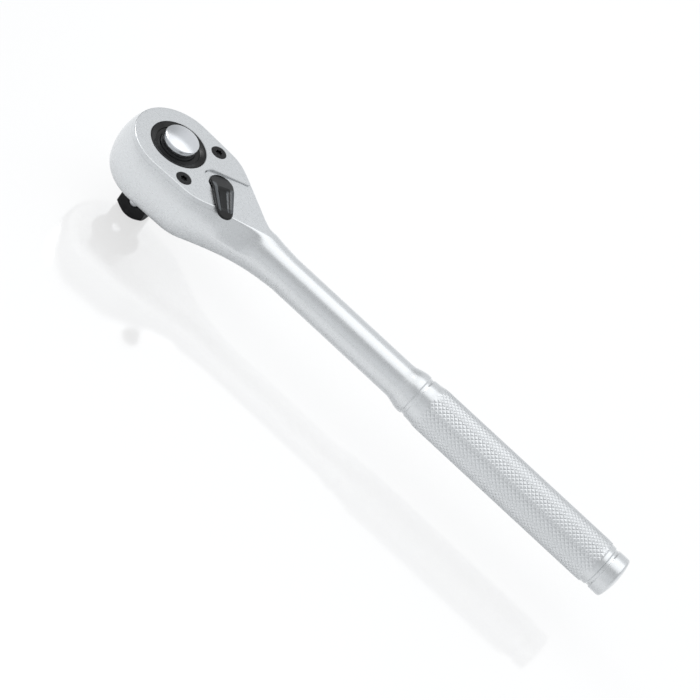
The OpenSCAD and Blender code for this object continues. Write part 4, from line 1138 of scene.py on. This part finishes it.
rub(shade(lever, 42), 0.55)
unturn = LEVER_PLACE.inverted()
worn_highlit_faces = 0
for face, mark in zip(lever.data.polygons, lever.data.attributes["rubbed"].data):
    if worn_and_highlit(*(unturn @ face.center) / MM):
        mark.value = WORN_LIP_HIGHLIGHT
        worn_highlit_faces += 1
print("worn faces of the lever:", worn_highlit_faces)


# %% [markdown]
# ## Springs
# Two wound springs work inside the head: one lifts the button, one presses the pin against the pawl. A helix
# is a curve with a round section drawn along it, which is what a short tree of Geometry Nodes does best: a
# spiral, a circle, and a mesh from both. The same tree serves both springs with other numbers.

# %% Spring tree
spring_tree, given = new_tree("wound_spring", {
    "Geometry": "Geometry", "Coil radius": "Float", "Wire radius": "Float", "Turns": "Float",
    "Length": "Float", "Finish": "Material"})
helix = add(spring_tree, "GeometryNodeCurveSpiral", {
    "Resolution": 40, "Rotations": given["Turns"], "Start Radius": given["Coil radius"],
    "End Radius": given["Coil radius"], "Height": given["Length"]})
wire = add(spring_tree, "GeometryNodeCurvePrimitiveCircle", {
    "Resolution": 14, "Radius": given["Wire radius"]})
drawn = add(spring_tree, "GeometryNodeCurveToMesh", {
    "Curve": helix.outputs[0], "Profile Curve": wire.outputs[0], "Fill Caps": True})
real = add(spring_tree, "GeometryNodeRealizeInstances", {0: drawn.outputs[0]})
dressed = add(spring_tree, "GeometryNodeSetMaterial", {
    "Geometry": real.outputs[0], "Material": given["Finish"]})
add(spring_tree, "NodeGroupOutput", {0: dressed.outputs[0]})
print("spring tree:", len(spring_tree.nodes), "nodes")

# %% Both springs
SPRING_FOOT, PIN_SPRING_FROM = 13.2, -1.25
button_spring = grow("button_spring", spring_tree, {
    "Coil radius": 5.735 * MM, "Wire radius": 0.5 * MM, "Turns": 4.0, "Length": 6.3 * MM,
    "Finish": spring_steel})
button_spring.data.transform(Matrix.Translation((0, 0, SPRING_FOOT * MM)))
pin_spring = grow("pin_spring", spring_tree, {
    "Coil radius": 1.05 * MM, "Wire radius": 0.18 * MM, "Turns": 5.0, "Length": 3.5 * MM,
    "Finish": spring_steel})
behind_pin = Matrix.Translation(Vector((PIN_SPRING_FROM, 0, PIN_Z)) * MM)
behind_pin = behind_pin @ Matrix.Rotation(math.pi / 2, 4, "Y")
pin_spring.data.transform(LEVER_PLACE @ behind_pin)
for piece in (button_spring, pin_spring):
    shade(piece, 50)
    print(piece.name, [round(d / MM, 2) for d in piece.dimensions])


# %% [markdown]
# ## Putting the tool together
# Each piece now rides on the body that carries it, and says which CAD pieces it stands for and which finish
# slot of the record it takes. Pieces that stay inside the head keep their CAD shape, and get their finish
# here. The button spring stands on the floor of its recess.

# %% Finishes of the pieces inside the head
inside = {"gear_washer": spring_steel, "drag_ring": seal_rubber, "release_plunger": spring_steel,
          "pawl": black_oxide, "pawl_plunger": polished_steel, "lever_clip": spring_steel}
for node, finish in inside.items():
    part = frame["nodes"][node]
    if not part.material_slots:
        part.data.materials.append(finish)
    for place in part.material_slots:
        place.material = finish
print("pieces that keep their CAD shape:", sorted(inside))

# %% Bodies, replaced nodes and slots
dressed_pieces = (
    (body, "handle", ["body"], "satin_chrome"),
    (knurl, "handle", [], "satin_chrome"),
    (cover, "handle", ["head_cover"], "satin_chrome"),
    (screws, "handle", ["cover_screw_left", "cover_screw_right"], "black_oxide"),
    (drive, "drive", ["drive_gear"], "black_oxide"),
    (retainer, "drive", ["button_retainer"], "black_oxide"),
    (button_spring, "drive", ["plunger_spring"], "spring_steel"),
    (button, "button", ["release_button"], "bright_steel"),
    (ball, "ball", ["detent_ball"], "bright_steel"),
    (lever, "lever", ["reversing_lever"], "black_oxide"),
    (pin_spring, "lever", ["pawl_spring"], "spring_steel"))
for piece, carrier, nodes, finish_slot in dressed_pieces:
    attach(piece, carrier)
    if nodes:
        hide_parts(*nodes)
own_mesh(button_spring)
print("dressed pieces:", [piece.name for piece, carrier, nodes, finish_slot in dressed_pieces])
